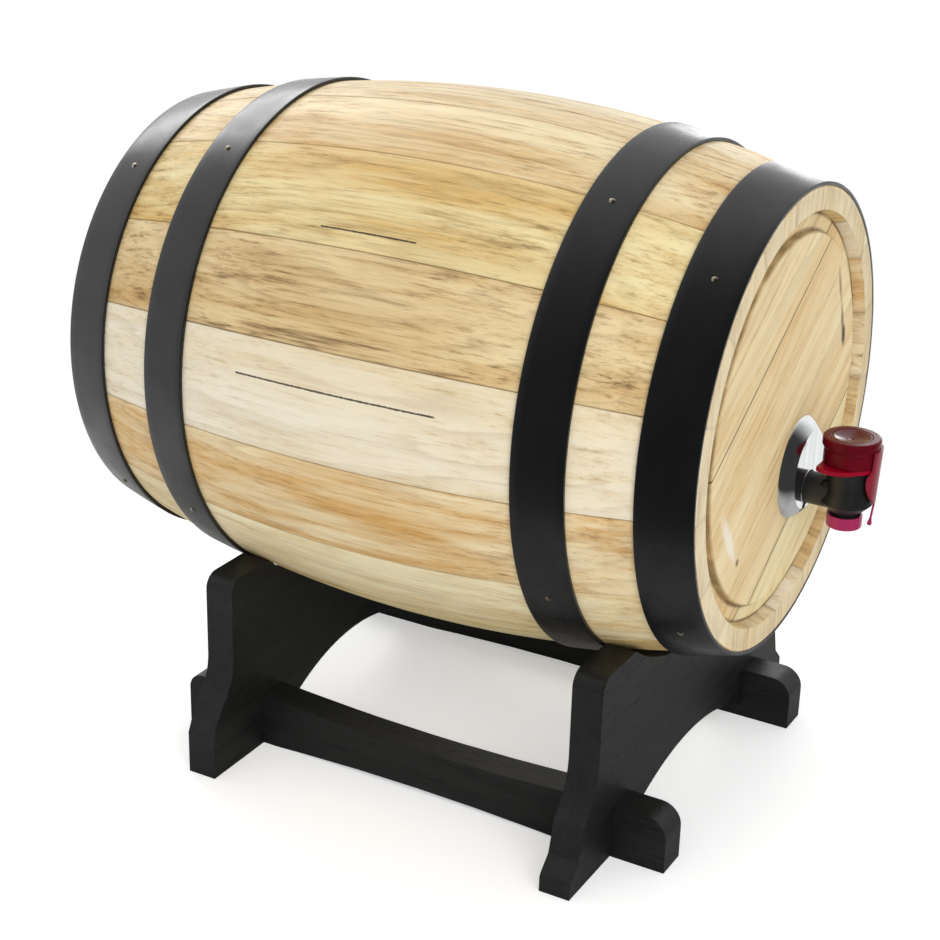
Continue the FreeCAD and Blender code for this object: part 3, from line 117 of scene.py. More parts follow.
def tube_faces(rows: int, columns: int) -> list:
    """Faces of a tube of closed rings, with one many-sided face at each end.

    Args:
        rows: number of rings.
        columns: number of points in a ring.

    Returns:
        Lists of corner numbers.
    """
    last = (rows - 1) * columns
    ends = [list(range(columns)), list(range(last + columns - 1, last - 1, -1))]
    return [*grid_quads(rows, columns, False, True), *ends]


def vectors_of(items: bpy.types.bpy_prop_collection, name: str) -> np.ndarray:
    """A vector that every vertex or face has, one a line."""
    values = np.empty(len(items) * 3)
    items.foreach_get(name, values)
    return values.reshape(-1, 3)


def add_object(name: str, data: bpy.types.ID) -> Piece:
    """A new object in the scene, at the origin."""
    thing = bpy.data.objects.new(name, data)
    bpy.context.scene.collection.objects.link(thing)
    return thing


def make_piece(name: str, points: np.ndarray, faces: list, sharp: float = 35.0) -> Piece:
    """A closed mesh piece, its doubles merged and its faces outward.

    Args:
        name: the piece's name.
        points: its points, in the row frame.
        faces: lists of corner numbers.
        sharp: angle in degrees past which an edge is shaded sharp.

    Returns:
        The new object, at the origin.
    """
    mesh = bpy.data.meshes.new(name)
    mesh.from_pydata(points.reshape(-1, 3).tolist(), [], [list(map(int, f)) for f in faces])
    shell = bmesh.new()
    shell.from_mesh(mesh)
    bmesh.ops.remove_doubles(shell, verts=shell.verts, dist=1e-6)
    bmesh.ops.dissolve_degenerate(shell, edges=shell.edges, dist=1e-7)
    bmesh.ops.recalc_face_normals(shell, faces=shell.faces)
    shell.to_mesh(mesh)
    shell.free()
    mesh.polygons.foreach_set("use_smooth", np.ones(len(mesh.polygons), bool))
    mesh.set_sharp_from_angle(angle=math.radians(sharp))
    return add_object(name, mesh)


def rounded(corners: np.ndarray | list, steps: int, closed: bool) -> np.ndarray:
    """A profile whose corners are rounded.

    Each corner is cut back by its radius times the tangent of half its turn, and the cut is
    filled with a quadratic curve that touches both sides.

    Args:
        corners: (across, along, radius) of each corner.
        steps: number of pieces in each rounded corner.
        closed: whether the last corner joins the first.

    Returns:
        The profile's points, one (across, along) a line.
    """
    data = np.array(corners, float)
    shading_and_seams, radii = data[:, :2], data[:, 2]
    back, ahead = np.roll(shading_and_seams, 1, 0) - shading_and_seams, np.roll(shading_and_seams, -1, 0) - shading_and_seams
    back_length = np.linalg.norm(back, axis=1, keepdims=True)
    ahead_length = np.linalg.norm(ahead, axis=1, keepdims=True)
    back, ahead = back / back_length, ahead / ahead_length
    turn = np.arccos(np.clip(-(back * ahead).sum(1), -1, 1))
    cut = np.minimum(radii * np.tan(turn / 2), 0.45 * np.minimum(back_length, ahead_length)[:, 0])
    t = np.linspace(0, 1, steps + 1)[None, :, None]
    start, end = shading_and_seams + back * cut[:, None], shading_and_seams + ahead * cut[:, None]
    curve = (1 - t) ** 2 * start[:, None] + 2 * t * (1 - t) * shading_and_seams[:, None] + t**2 * end[:, None]
    if not closed:
        curve[0], curve[-1] = shading_and_seams[0], shading_and_seams[-1]
    flat = curve.reshape(-1, 2)
    keep = np.r_[True, np.linalg.norm(np.diff(flat, axis=0), axis=1) > 1e-7]
    return flat[keep]


def turned_piece(name: str, corners: np.ndarray | list, centre: Vector, axis: str, count: int,
                 closed: bool = False, steps: int = 4) -> Piece:
    """A turned piece with rounded corners.

    Args:
        name: the piece's name.
        corners: (radius, place along the axis, rounding) of each corner.
        centre: a point on the axis, from which places along it are counted.
        axis: "Y" for a lying axis, "Z" for an upright one.
        count: number of stations round the axis.
        closed: whether the profile is a ring that doesn't meet the axis.
        steps: number of pieces in a rounded corner.

    Returns:
        The new object.
    """
    profile = rounded(corners, steps, closed)
    angle = np.linspace(0, 2 * np.pi, count, endpoint=False)[:, None]
    radius, along = profile[None, :, 0], np.broadcast_to(profile[:, 1], (count, len(profile)))
    first, second = radius * np.sin(angle), radius * np.cos(angle)
    order = (first, along, second) if axis == "Y" else (first, second, along)
    points = np.stack(order, -1) + np.array(centre)
    return make_piece(name, points, list(grid_quads(count, len(profile), True, closed)))


def softened(node: str, width: float, segments: int = 2) -> Piece:
    """A copy of a CAD node whose sharp edges are rounded over.

    Args:
        node: the node's name.
        width: width of the rounding, in metres.
        segments: number of pieces across the rounding.

    Returns:
        The copy, which stands for the node.
    """
    shell = bmesh.new()
    shell.from_mesh(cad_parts[node].data)
    bmesh.ops.remove_doubles(shell, verts=shell.verts, dist=2e-6)
    bmesh.ops.dissolve_limit(shell, angle_limit=FLAT_WITHIN, verts=shell.verts, edges=shell.edges)
    mesh = bpy.data.meshes.new(node + "_softened")
    shell.to_mesh(mesh)
    shell.free()
    if "custom_normal" in mesh.attributes:
        mesh.attributes.remove(mesh.attributes["custom_normal"])
    mesh.materials.clear()
    mesh.polygons.foreach_set("use_smooth", np.ones(len(mesh.polygons), bool))
    piece = add_object(mesh.name, mesh)
    bevel = piece.modifiers.new("rounding", "BEVEL")
    bevel.width = width
    bevel.segments = segments
    bevel.limit_method = "ANGLE"
    bevel.angle_limit = BEVEL_PAST
    piece.modifiers.new("flat_sides", "WEIGHTED_NORMAL").weight = 50
    return piece


def dress(piece: Piece, body: str, slot: str, *nodes: str) -> Piece:
    """Tie a finished piece to its body, and hide the nodes it stands for.

    Args:
        piece: the finished piece.
        body: the CAD body it moves with.
        slot: the material slot's name; it is not used.
        nodes: CAD nodes that it replaces.

    Returns:
        The same piece.
    """
    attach(piece, body)
    if nodes:
        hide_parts(*nodes)
    log.info("%s: %d faces, on %s", piece.name, len(piece.data.polygons), body)
    return piece


def give(piece: Piece, *finishes: Material) -> Piece:
    """Put finishes into a piece's material slots, in their order.

    Args:
        piece: a new piece or a CAD node.
        finishes: one material for each slot.

    Returns:
        The same piece.
    """
    for index, finish in enumerate(finishes):
        if index < len(piece.material_slots):
            piece.material_slots[index].material = finish
        else:
            piece.data.materials.append(finish)
    return piece


def coat(finish: Material, *nodes: str) -> None:
    """Give a finish to CAD nodes that stay as they are."""
    for node in nodes:
        give(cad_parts[node], finish)


# ---------------------------------------------------------------- shader tools


class Wiring:
    """Adds nodes to a tree and joins them."""

    def __init__(self, tree: Tree) -> None:
        """Start with a tree that is empty or holds only group ends."""
        self.tree = tree

    def feed(self, node: Node, inputs: dict) -> Node:
        """Join or set a node's inputs.

        Args:
            node: the node.
            inputs: for each input name or number, a socket to join or a value to set.

        Returns:
            The same node.
        """
        for key, value in inputs.items():
            if isinstance(value, Socket):
                self.tree.links.new(value, node.inputs[key])
            else:
                node.inputs[key].default_value = value
        return node

    def add(self, kind: str, inputs: dict | None = None, **settings: object) -> Node:
        """Add a node.

        Args:
            kind: the node's Blender type.
            inputs: what its inputs are fed.
            settings: the node's own settings.

        Returns:
            The new node.
        """
        node = self.tree.nodes.new(kind)
        for key, value in settings.items():
            setattr(node, key, value)
        return self.feed(node, inputs or {})

    def maths(self, operation: str, *values: Socket | float) -> Socket:
        """Result of a Math node on the given sockets or numbers."""
        node = self.add("ShaderNodeMath", dict(enumerate(values)), operation=operation)
        return node.outputs[0]

    def times(self, first: Socket, second: Socket | float) -> Socket:
        """One value times another."""
        return self.maths("MULTIPLY", first, second)

    def less(self, first: Socket | float, second: Socket | float) -> Socket:
        """One value less another."""
        return self.maths("SUBTRACT", first, second)

    def vectors(self, operation: str, *values: Socket | tuple) -> Socket:
        """Result of a Vector Math node on the given sockets or vectors."""
        node = self.add("ShaderNodeVectorMath", dict(enumerate(values)), operation=operation)
        return node.outputs["Value" if operation in ("LENGTH", "DOT_PRODUCT") else "Vector"]

    def noise(self, place: Socket, scale: Socket | float, detail: float = 2.0,
              rough: float = 0.5, output: str = "Fac") -> Socket:
        """Noise from 0 to 1: its waves in a metre, its finer layers and their strength."""
        values = {"Vector": place, "Scale": scale, "Detail": detail, "Roughness": rough}
        return self.add("ShaderNodeTexNoise", values).outputs[output]

    def ramp(self, value: Socket, low: float, high: float) -> Socket:
        """Value smoothly brought from 0 at low to 1 at high."""
        node = self.add("ShaderNodeMapRange", {0: value, 1: low, 2: high},
                        interpolation_type="SMOOTHSTEP")
        return node.outputs[0]

    def mix(self, share: Socket, first: Socket | Colour, second: Socket | Colour) -> Socket:
        """Colour between two colours, by a share from 0 to 1."""
        first, second = (c if isinstance(c, Socket) else (*c, 1.0) for c in (first, second))
        node = self.add("ShaderNodeMix", {0: share, 6: first, 7: second}, data_type="RGBA")
        return node.outputs[2]

    def put_out(self, **results: Socket) -> Tree:
        """End a group: give it an output for each result, and return its tree."""
        kinds = {"VALUE": "Float", "RGBA": "Color"}
        for label, result in results.items():
            self.tree.interface.new_socket(label, in_out="OUTPUT",
                                           socket_type="NodeSocket" + kinds[result.type])
        self.add("NodeGroupOutput", results)
        return self.tree


def new_group(name: str, **inputs: str) -> tuple[Wiring, dict[str, Socket]]:
    """An empty shader node group with named inputs.

    Args:
        name: the group's name.
        inputs: for each input, its kind.

    Returns:
        The group's wiring, and what comes in at each input.
    """
    tree = bpy.data.node_groups.new(name, "ShaderNodeTree")
    for label, kind in inputs.items():
        tree.interface.new_socket(label, in_out="INPUT", socket_type="NodeSocket" + kind)
    wiring = Wiring(tree)
    start = wiring.add("NodeGroupInput")
    return wiring, {label: start.outputs[label] for label in inputs}


TINTS = ("Pale", "Middle", "Dark")
AMOUNTS = ("Rings", "Bands", "Streaks", "Dashes", "Contrast")


def grain_group() -> Tree:
    """Wood whose fibres run along Y: broad tones, growth rings, streaks, dashes and pores.

    The rings are the falling part of a saw wave over the distance from a wandering line along
    Y, so each ends in a sharp dark edge. All the rest is noise drawn out along Y: the broad
    tone, a curly figure, streaky bands that are broken up by hair lines, dashes, and pores.

    Returns:
        The group, which puts out Color, Height and Pores.
    """
    w, given = new_group("wood_grain", Vector="Vector", **dict.fromkeys(TINTS, "Color"),
                         **dict.fromkeys(AMOUNTS, "Float"))
    place, middle, dark = given["Vector"], given["Middle"], given["Dark"]
    streaks, contrast = given["Streaks"], given["Contrast"]

    def drawn(share: float) -> Socket:
        """The place with its Y made smaller, which draws noise out along the fibres."""
        return w.vectors("MULTIPLY", place, (1.0, share, 1.0))

    wander = w.noise(drawn(0.16), 13.0, 4.0, 0.55, "Color")
    shift = w.vectors("SUBTRACT", wander, (0.5, 0.5, 0.5))
    bent = w.vectors("MULTIPLY_ADD", shift, (0.070, 0.0, 0.070), place)
    off = w.vectors("LENGTH", w.vectors("MULTIPLY", bent, (1.0, 0.0, 1.0)))
    uneven = w.noise(drawn(0.05), 60.0, 3.0)
    steps = w.maths("ADD", w.times(off, given["Rings"]), w.times(uneven, 2.5))
    saw = w.maths("FRACT", steps)
    edge = w.times(w.maths("POWER", saw, 2.6), w.ramp(saw, 1.0, 0.86))
    rings = w.times(edge, w.ramp(uneven, 0.30, 0.62))

    swayed = w.vectors("MULTIPLY_ADD", shift, (0.012, 0.0, 0.012), drawn(0.10))
    tone = w.noise(swayed, given["Bands"], 3.0)
    figure = w.noise(drawn(0.40), 80.0, 3.0, 0.55)
    hairs = w.noise(drawn(0.022), 520.0, 4.0, 0.68)
    band = w.noise(drawn(0.07), 130.0, 4.0, 0.62)
    band = w.maths("ADD", band, w.times(w.less(hairs, 0.5), 0.42))
    dash = w.noise(drawn(0.055), 640.0, 3.0, 0.62)
    pore = w.noise(drawn(0.05), 1500.0, 1.0)
    where = w.maths("ADD", w.times(w.ramp(band, 0.42, 0.66), 0.75), 0.25)
    pores = w.times(w.ramp(pore, 0.60, 0.72), where)
    dashes = w.times(w.ramp(dash, 0.53, 0.70), where)
    share = w.maths("ADD", w.times(w.ramp(tone, 0.36, 0.64), 0.60),
                    w.times(w.ramp(band, 0.40, 0.62), 0.40))

    colour = w.mix(w.times(share, contrast), given["Pale"], middle)
    layers = (
        (w.ramp(band, 0.58, 0.80), w.times(streaks, 0.88), dark),
        (w.ramp(figure, 0.50, 0.72), 0.22, middle),
        (rings, w.times(contrast, 0.34), dark),
        (dashes, given["Dashes"], dark),
        (w.ramp(hairs, 0.52, 0.70), w.times(streaks, 0.42), dark),
        (pores, 0.30, dark),
    )
    for mask, strength, over in layers:
        colour = w.mix(w.times(mask, strength), colour, over)
    return w.put_out(Color=colour, Height=w.less(w.times(dash, -0.6), pores), Pores=pores)


def speck_group() -> Tree:
    """Fine unevenness of a moulded, painted or metal surface: a broad cloud and fine specks.

    Returns:
        The group, which puts out Cloud and Height.
    """
    w, given = new_group("fine_specks", Vector="Vector", Fineness="Float", Breadth="Float")
    broad = w.noise(given["Vector"], given["Breadth"], 4.0)
    fine = w.noise(given["Vector"], given["Fineness"])
    return w.put_out(Cloud=w.ramp(broad, 0.35, 0.65), Height=fine)


def rule_group() -> Tree:
    """A thin printed line along the cask: near one angle round it, and near one place along it.

    Its edge is uneven by up to a third of a millimetre, and it is worn away in spots.

    Returns:
        The group, which puts out Mask.
    """
    w, given = new_group("printed_rule", Vector="Vector", Angle="Float", Middle="Float",
                         Half_Length="Float", Half_Width="Float")
    x, y, z = w.add("ShaderNodeSeparateXYZ", {0: given["Vector"]}).outputs
    angle = w.maths("ARCTAN2", w.times(x, -1.0), w.less(z, AXIS_HEIGHT))
    off = w.times(w.maths("ABSOLUTE", w.less(angle, given["Angle"])), BILGE_RADIUS)
    rough = w.less(w.noise(given["Vector"], 700.0), 0.5)
    off = w.maths("ADD", off, w.times(rough, 0.0007))
    along = w.maths("ABSOLUTE", w.less(y, given["Middle"]))
    inside = w.times(w.maths("LESS_THAN", off, given["Half_Width"]),
                     w.maths("LESS_THAN", along, given["Half_Length"]))
    worn = w.maths("LESS_THAN", w.noise(given["Vector"], 260.0), 0.69)
    return w.put_out(Mask=w.times(inside, worn))


def streak_group() -> Tree:
    """A long streak on an upright board, for painted shadow and highlight or for a seam's dark
    line: an uneven ellipse that fades at its edge.

    Returns:
        The group, which puts out Mask.
    """
    w, given = new_group("shade_and_seam_streak", Vector="Vector", Middle="Vector", Reach="Vector",
                         Softness="Float")
    off = w.vectors("SUBTRACT", given["Vector"], given["Middle"])
    reach = w.vectors("LENGTH", w.vectors("DIVIDE", off, given["Reach"]))
    uneven = w.noise(w.vectors("MULTIPLY", given["Vector"], (1.0, 0.0, 0.3)), 320.0, 3.0)
    reach = w.maths("ADD", reach, w.times(w.less(uneven, 0.5), 0.7))
    share = w.maths("DIVIDE", w.less(1.0, reach), given["Softness"])
    return w.put_out(Mask=w.ramp(share, 0.0, 1.0))


GRAIN = grain_group()
SPECKS = speck_group()
RULE = rule_group()
STREAK = streak_group()


def new_material(name: str) -> tuple[Material, Wiring, Node]:
    """A material with a plain surface shader.

    Args:
        name: the material's name.

    Returns:
        The material, its wiring and its shader node.
    """
    material = bpy.data.materials.new(name)
    material.use_nodes = True
    material.node_tree.nodes.clear()
    wiring = Wiring(material.node_tree)
    shader = wiring.add("ShaderNodeBsdfPrincipled")
    wiring.add("ShaderNodeOutputMaterial", {"Surface": shader.outputs[0]})
    return material, wiring, shader


# ---------------------------------------------------------------- finishes


class Fibres(Enum):
    """Direction of a board's fibres, as the turn that brings them onto Y."""

    ALONG_Y = (0.0, 0.0, 0.0)
    ALONG_X = (0.0, 0.0, math.pi / 2)
    ALONG_Z = (-math.pi / 2, 0.0, 0.0)
    HEAD = (0.0, math.radians(31.6), math.pi / 2)


@dataclass(frozen=True)
class ShadeAndSeamStreak:
    """A streak at an (x, z) spot of an upright board: a seam's dark line, a painted shadow or a
    painted highlight.

    It leans from upright by some degrees, and fades over a share of its half width.
    """

    spot: tuple[float, float]
    lean: float
    length: float
    width: float
    colour: str
    strength: float = 0.8
    softness: float = 0.6


@dataclass(frozen=True)
class Wood:
    """A wood: its three colours, how its grain lies, and how it is finished.

    Attributes:
        rings, bands: growth rings, and waves of the broad tone, in a metre.
        streaks, dashes, joints: strength of the streaks, of the dashes, and of the dirt
            beside joints.
        heart: shift of the board out of the trunk's middle.
        gloss, sheen: roughness, and strength of the reflections.
        rules: (angle in degrees, middle, half length, half width) of printed lines.
        edges: (radius, half width, strength) of rings of painted shade round the cask's axis, in
            grooves and recess corners.
    """

    pale: str
    middle: str
    dark: str
    rings: float = 160.0
    streaks: float = 0.5
    contrast: float = 1.0
    fibres: Fibres = Fibres.ALONG_Y
    heart: Triple = (0.0, 0.0, 0.0)
    gloss: float = 0.52
    sheen: float = 0.4
    relief: float = 0.25
    rules: tuple[tuple[float, float, float, float], ...] = ()
    joints: float = 0.0
    bands: float = 24.0
    dashes: float = 0.45
    shade_and_seam_streaks: tuple[ShadeAndSeamStreak, ...] = ()
    edges: tuple[Triple, ...] = ()

    def marks_and_painted_light(self, w: Wiring, place: Socket) -> Iterator[tuple[Socket, Socket | float, str]]:
        """What lies over the grain, from the lowest layer up: streaks of painted shadow and
        highlight, seams, rings of painted shade, printed rules and dirt beside joints.

        Args:
            w: the material's wiring.
            place: the point that is looked up.

        Yields:
            The mask, the strength and the colour of each mark.
        """
        # Streaks: the seams' dark lines, and painted shadow and painted highlight.
        for streak in self.shade_and_seam_streaks:
            lean = Euler((0.0, math.radians(streak.lean), 0.0))
            upright = w.add("ShaderNodeMapping", {"Vector": place, "Rotation": lean}).outputs[0]
            mark = w.add("ShaderNodeGroup", {
                "Vector": upright,
                "Middle": lean.to_matrix() @ Vector((streak.spot[0], 0.0, streak.spot[1])),
                "Reach": (streak.width / 2, 9.0, streak.length / 2),
                "Softness": streak.softness,
            }, node_tree=STREAK)
            yield mark.outputs["Mask"], streak.strength, streak.colour
        # Rings of painted shade round the cask's axis, in colour 5E4420 and patchy, where a groove
        # or a recess corner lies.
        for radius, half_width, strength in self.edges:
            flat = w.vectors("MULTIPLY_ADD", place, (1.0, 0.0, 1.0), (0.0, 0.0, -AXIS_HEIGHT))
            apart = w.maths("ABSOLUTE", w.less(w.vectors("LENGTH", flat), radius))
            patchy = w.ramp(w.noise(place, 60.0, 3.0), 0.30, 0.60)
            patchy = w.maths("MULTIPLY_ADD", patchy, 0.5, 0.5)
            yield w.ramp(apart, half_width, 0.0), w.times(patchy, strength), "5E4420"
        for angle, middle, half_length, half_width in self.rules:
            rule = w.add("ShaderNodeGroup", {
                "Vector": place, "Angle": math.radians(angle), "Middle": middle,
                "Half_Length": half_length, "Half_Width": half_width,
            }, node_tree=RULE)
            yield rule.outputs["Mask"], 0.9, "2A211B"
        if self.joints:
            near = w.add("ShaderNodeAttribute", attribute_name="joint").outputs["Fac"]
            patchy = w.ramp(w.noise(place, 45.0, 3.0), 0.30, 0.62)
            patchy = w.maths("MULTIPLY_ADD", patchy, 0.55, 0.45)
            yield w.times(near, patchy), self.joints, "4A3320"

    def material(self, name: str) -> Material:
        """The wood as a material.

        Args:
            name: the material's name.

        Returns:
            The material.
        """
        material, w, shader = new_material(name)
        place = w.add("ShaderNodeTexCoord").outputs["Object"]
        turned = w.add("ShaderNodeMapping", {"Vector": place, "Location": self.heart,
                                             "Rotation": self.fibres.value}).outputs[0]
        tints = {label: (*paint(getattr(self, label.lower())), 1) for label in TINTS}
        amounts = {label: getattr(self, label.lower()) for label in AMOUNTS}
        grain = w.add("ShaderNodeGroup", {"Vector": turned, **tints, **amounts}, node_tree=GRAIN)
        colour = grain.outputs["Color"]
        for mask, strength, over in self.marks_and_painted_light(w, place):
            colour = w.mix(w.times(mask, strength), colour, paint(over))
        bump = w.add("ShaderNodeBump", {"Height": grain.outputs["Height"],
                                        "Strength": self.relief, "Distance": 0.0004})
        w.feed(shader, {
            "Base Color": colour,
            "Roughness": w.maths("ADD", w.times(grain.outputs["Pores"], 0.25), self.gloss),
            "Normal": bump.outputs[0],
            "Specular IOR Level": self.sheen,
        })
        return material


@dataclass(frozen=True)
class Moulded:
    """A moulded, painted or metal surface.

    Attributes:
        shade, spread: colour, and added roughness, where the broad cloud is thick.
        fineness, breadth: specks, and clouds, in a metre.
        brushed: scale along X, Y and Z; less than 1 draws the specks out.
        glow: share of light that scatters inside.
    """

    colour: str
    shade: str
    gloss: float = 0.35
    spread: float = 0.08
    metal: float = 0.0
    relief: float = 0.05
    fineness: float = 2500.0
    breadth: float = 60.0
    brushed: Triple = (1.0, 1.0, 1.0)
    glow: float = 0.0
    sheen: float = 0.5

    def material(self, name: str) -> Material:
        """The surface as a material.

        Args:
            name: the material's name.

        Returns:
            The material.
        """
        material, w, shader = new_material(name)
        place = w.add("ShaderNodeTexCoord").outputs["Object"]
        drawn = w.add("ShaderNodeMapping", {"Vector": place, "Scale": self.brushed}).outputs[0]
        specks = w.add("ShaderNodeGroup", {"Vector": drawn, "Fineness": self.fineness,
                                           "Breadth": self.breadth}, node_tree=SPECKS)
        cloud = specks.outputs["Cloud"]
        bump = w.add("ShaderNodeBump", {"Height": specks.outputs["Height"],
                                        "Strength": self.relief, "Distance": 0.0002})
        w.feed(shader, {
            "Base Color": w.mix(cloud, paint(self.colour), paint(self.shade)),
            "Roughness": w.maths("ADD", w.times(cloud, self.spread), self.gloss),
            "Normal": bump.outputs[0],
            "Metallic": self.metal,
            "Specular IOR Level": self.sheen,
        })
        if self.glow:
            w.feed(shader, {"Subsurface Weight": self.glow, "Subsurface Scale": 0.002})
        return material


STREAKY = Wood("FBEECB", "E6C792", "7C5830", rings=150, streaks=0.75, dashes=0.55, bands=30)
TAWNY = Wood("F8E6BA", "DDB576", "74502A", rings=150, streaks=0.80, dashes=0.50, bands=36)
YELLOW = Wood("F9E8B2", "DFB870", "7A5A2E", rings=130, streaks=0.75, dashes=0.45, bands=34)
BROWN = Wood("F3DCAA", "D2A96A", "684624", rings=170, streaks=0.95, dashes=0.65, bands=30)
CREAM = Wood("FCF3DC", "F2DFB8", "A88350", rings=90, streaks=0.40, dashes=0.28, bands=20)
GOLDEN = Wood("FBEAC0", "DFAF66", "8A5E30", rings=110, streaks=0.55, dashes=0.4, bands=62)
PALE = Wood("FBEEC6", "ECD096", "A07B44", rings=110, streaks=0.40, dashes=0.3, bands=30)


# ---------------------------------------------------------------- cask


def wood_radius(along: np.ndarray) -> np.ndarray:
    """Outside radius of the staves: a circle's arc along the cask, widest at its middle."""
    return BILGE_RADIUS - BOW_RADIUS + np.sqrt(BOW_RADIUS**2 - (along - CASK_MIDDLE) ** 2)


@dataclass
class Staves:
    """The staves, each a bowed bar with worn arrises and its own wood.

    Attributes:
        first: angle of the first stave's start, in degrees from the top towards -X.
        differences: how much wider than the mean the first staves are, in degrees.
        worn: (share of the arris in from a side, share of it below the surface) of points.
        columns, stations: points across a stave, and along the arc inside it.
        sawn_reach: how far from the cask's ends a face counts as sawn.
        front, rear: (y, radius) inside each end: chamfer, seat, croze and howel.
    """

    first: float = 10.4
    differences: tuple[float, ...] = (-1.5, 1.9, -0.6, 1.9, 0.4)
    count: int = 17
    arris: float = 0.0007
    worn: tuple[tuple[float, float], ...] = ((0.0, 1.0), (0.25, 0.42), (0.6, 0.1), (1.0, 0.0))
    gap: float = 0.00004
    chamfer: float = 0.0005
    columns: int = 15
    stations: int = 42
    sawn_reach: float = 0.003
    front: tuple[tuple[float, float], ...] = (
        (-0.15515, 0.1030), (-0.14915, 0.1013), (-0.14715, 0.1013), (-0.14715, 0.1049),
        (-0.14215, 0.1049), (-0.14215, 0.1013), (-0.14075, 0.1013), (-0.12775, 0.1060),
    )
    rear: tuple[tuple[float, float], ...] = (
        (0.15775, 0.1060), (0.17075, 0.1013), (0.17075, 0.1049), (0.17675, 0.1049),
        (0.17675, 0.1013), (0.18085, 0.1013), (0.18585, 0.1013), (0.19485, 0.1030),
    )
    tones: tuple[Wood, ...] = (
        TAWNY, YELLOW, BROWN, CREAM, GOLDEN, PALE, YELLOW, STREAKY, CREAM, TAWNY, PALE, BROWN,
        STREAKY, GOLDEN, CREAM, YELLOW, STREAKY,
    )
    rules: tuple[tuple[float, float, float, float], ...] = (
        (49.4, 0.0216, 0.0262, 0.00045), (81.7, 0.0218, 0.0555, 0.00045),
    )

    def spans(self) -> list[tuple[float, float]]:
        """First and last angle of each stave, in degrees from the top towards -X."""
        spare = sum(self.differences) / (self.count - len(self.differences))
        widths = [360 / self.count + d for d in self.differences]
        widths += [360 / self.count - spare] * (self.count - len(widths))
        edges = self.first + np.concatenate([[0], np.cumsum(widths)])
        return list(zip(edges[:-1], edges[1:]))

    def section(self) -> tuple[np.ndarray, np.ndarray]:
        """Stations along the cask.

        Returns:
            (place, radius) of the inside and of the outside at every station. The inside runs
            through the front croze, a deep arc, and the rear croze.
        """
        (low, howel), (high, _) = self.front[-1], self.rear[0]
        middle, half = (low + high) / 2, (high - low) / 2
        hollow = BILGE_RADIUS - STAVE_WALL
        rise = hollow - howel
        arc = (half**2 + rise**2) / (2 * rise)
        y = np.linspace(low, high, self.stations)[1:-1]
        bow = np.stack([y, hollow - arc + np.sqrt(arc**2 - (y - middle) ** 2)], -1)
        inner = np.concatenate([self.front, bow, self.rear])
        start, end = CASK_MIDDLE - CASK_LENGTH / 2, CASK_MIDDLE + CASK_LENGTH / 2
        outer_y = start + (end - start) * np.linspace(0, 1, len(inner))
        outer_y[2:7] = inner[2:7, 0]
        outer_y[[1, -2]] = start + self.chamfer, end - self.chamfer
        outer_y = np.sort(outer_y)
        outer = np.stack([outer_y, wood_radius(outer_y)], -1)
        outer[[0, -1], 1] -= self.chamfer
        return inner, outer

    def ring(self, stations: np.ndarray, drop: np.ndarray, angle: np.ndarray) -> np.ndarray:
        """Points across a stave at every station.

        Args:
            stations: (place, radius) of each.
            drop: how far each point lies below the radius.
            angle: each point's angle, in radians from the top towards -X.

        Returns:
            An array of stations by points by coordinates.
        """
        radius = stations[:, None, 1] - drop[None, :]
        y = np.broadcast_to(stations[:, None, 0], radius.shape)
        return np.stack([-radius * np.sin(angle), y, AXIS_HEIGHT + radius * np.cos(angle)], -1)

    def build_one(self, index: int, start: float, end: float) -> Piece:
        """One stave: its section's ring of points carried along the stations.

        Args:
            index: the stave's number, from 1.
            start: its first angle, in degrees.
            end: its last angle.

        Returns:
            The stave.
        """
        inner, outer = self.section()
        first, last = np.radians([start, end])
        gap = self.gap / BILGE_RADIUS
        across = np.linspace(first + gap, last - gap, self.columns)
        aside, below = np.array(self.worn).T * self.arris
        aside = aside / BILGE_RADIUS
        fine = np.concatenate([across[0] + aside, across[1:-1], (across[-1] - aside)[::-1]])
        drop = np.concatenate([below, np.zeros(self.columns - 2), below[::-1]])
        outside = self.ring(outer, drop, fine)
        inside = self.ring(inner, np.zeros(len(across)), across[::-1])
        rings = np.concatenate([outside, inside], 1)
        stave = make_piece(f"stave_wood_{index:02d}", rings, tube_faces(*rings.shape[:2]), 32)
        self.mark(stave.data, float(across[0]), float(across[-1]))
        return stave

    def mark(self, mesh: bpy.types.Mesh, first: float, last: float) -> None:
        """Write how near each point is to a joint, and give the sawn ends their own slot.

        The nearness is 1 at the stave's sides and falls to 0 within the worn arris.

        Args:
            mesh: the stave's mesh.
            first: angle of the stave's first side, in radians from the top towards -X.
            last: angle of its last side.
        """
        x, _, z = vectors_of(mesh.vertices, "co").T
        angle = np.arctan2(-x, z - AXIS_HEIGHT)
        off = np.abs((angle - (first + last) / 2 + np.pi) % (2 * np.pi) - np.pi)
        aside = ((last - first) / 2 - off) * BILGE_RADIUS
        near = mesh.attributes.new("joint", "FLOAT", "POINT")
        near.data.foreach_set("value", np.clip(1 - aside / self.arris, 0, 1))
        lengthwise = np.abs(vectors_of(mesh.polygons, "normal")[:, 1]) > 0.8
        depth = np.abs(vectors_of(mesh.polygons, "center")[:, 1] - CASK_MIDDLE)
        sawn = lengthwise & (depth > CASK_LENGTH / 2 - self.sawn_reach)
        mesh.polygons.foreach_set("material_index", sawn.astype(int))

    def build(self) -> None:
        """Make and dress every stave."""
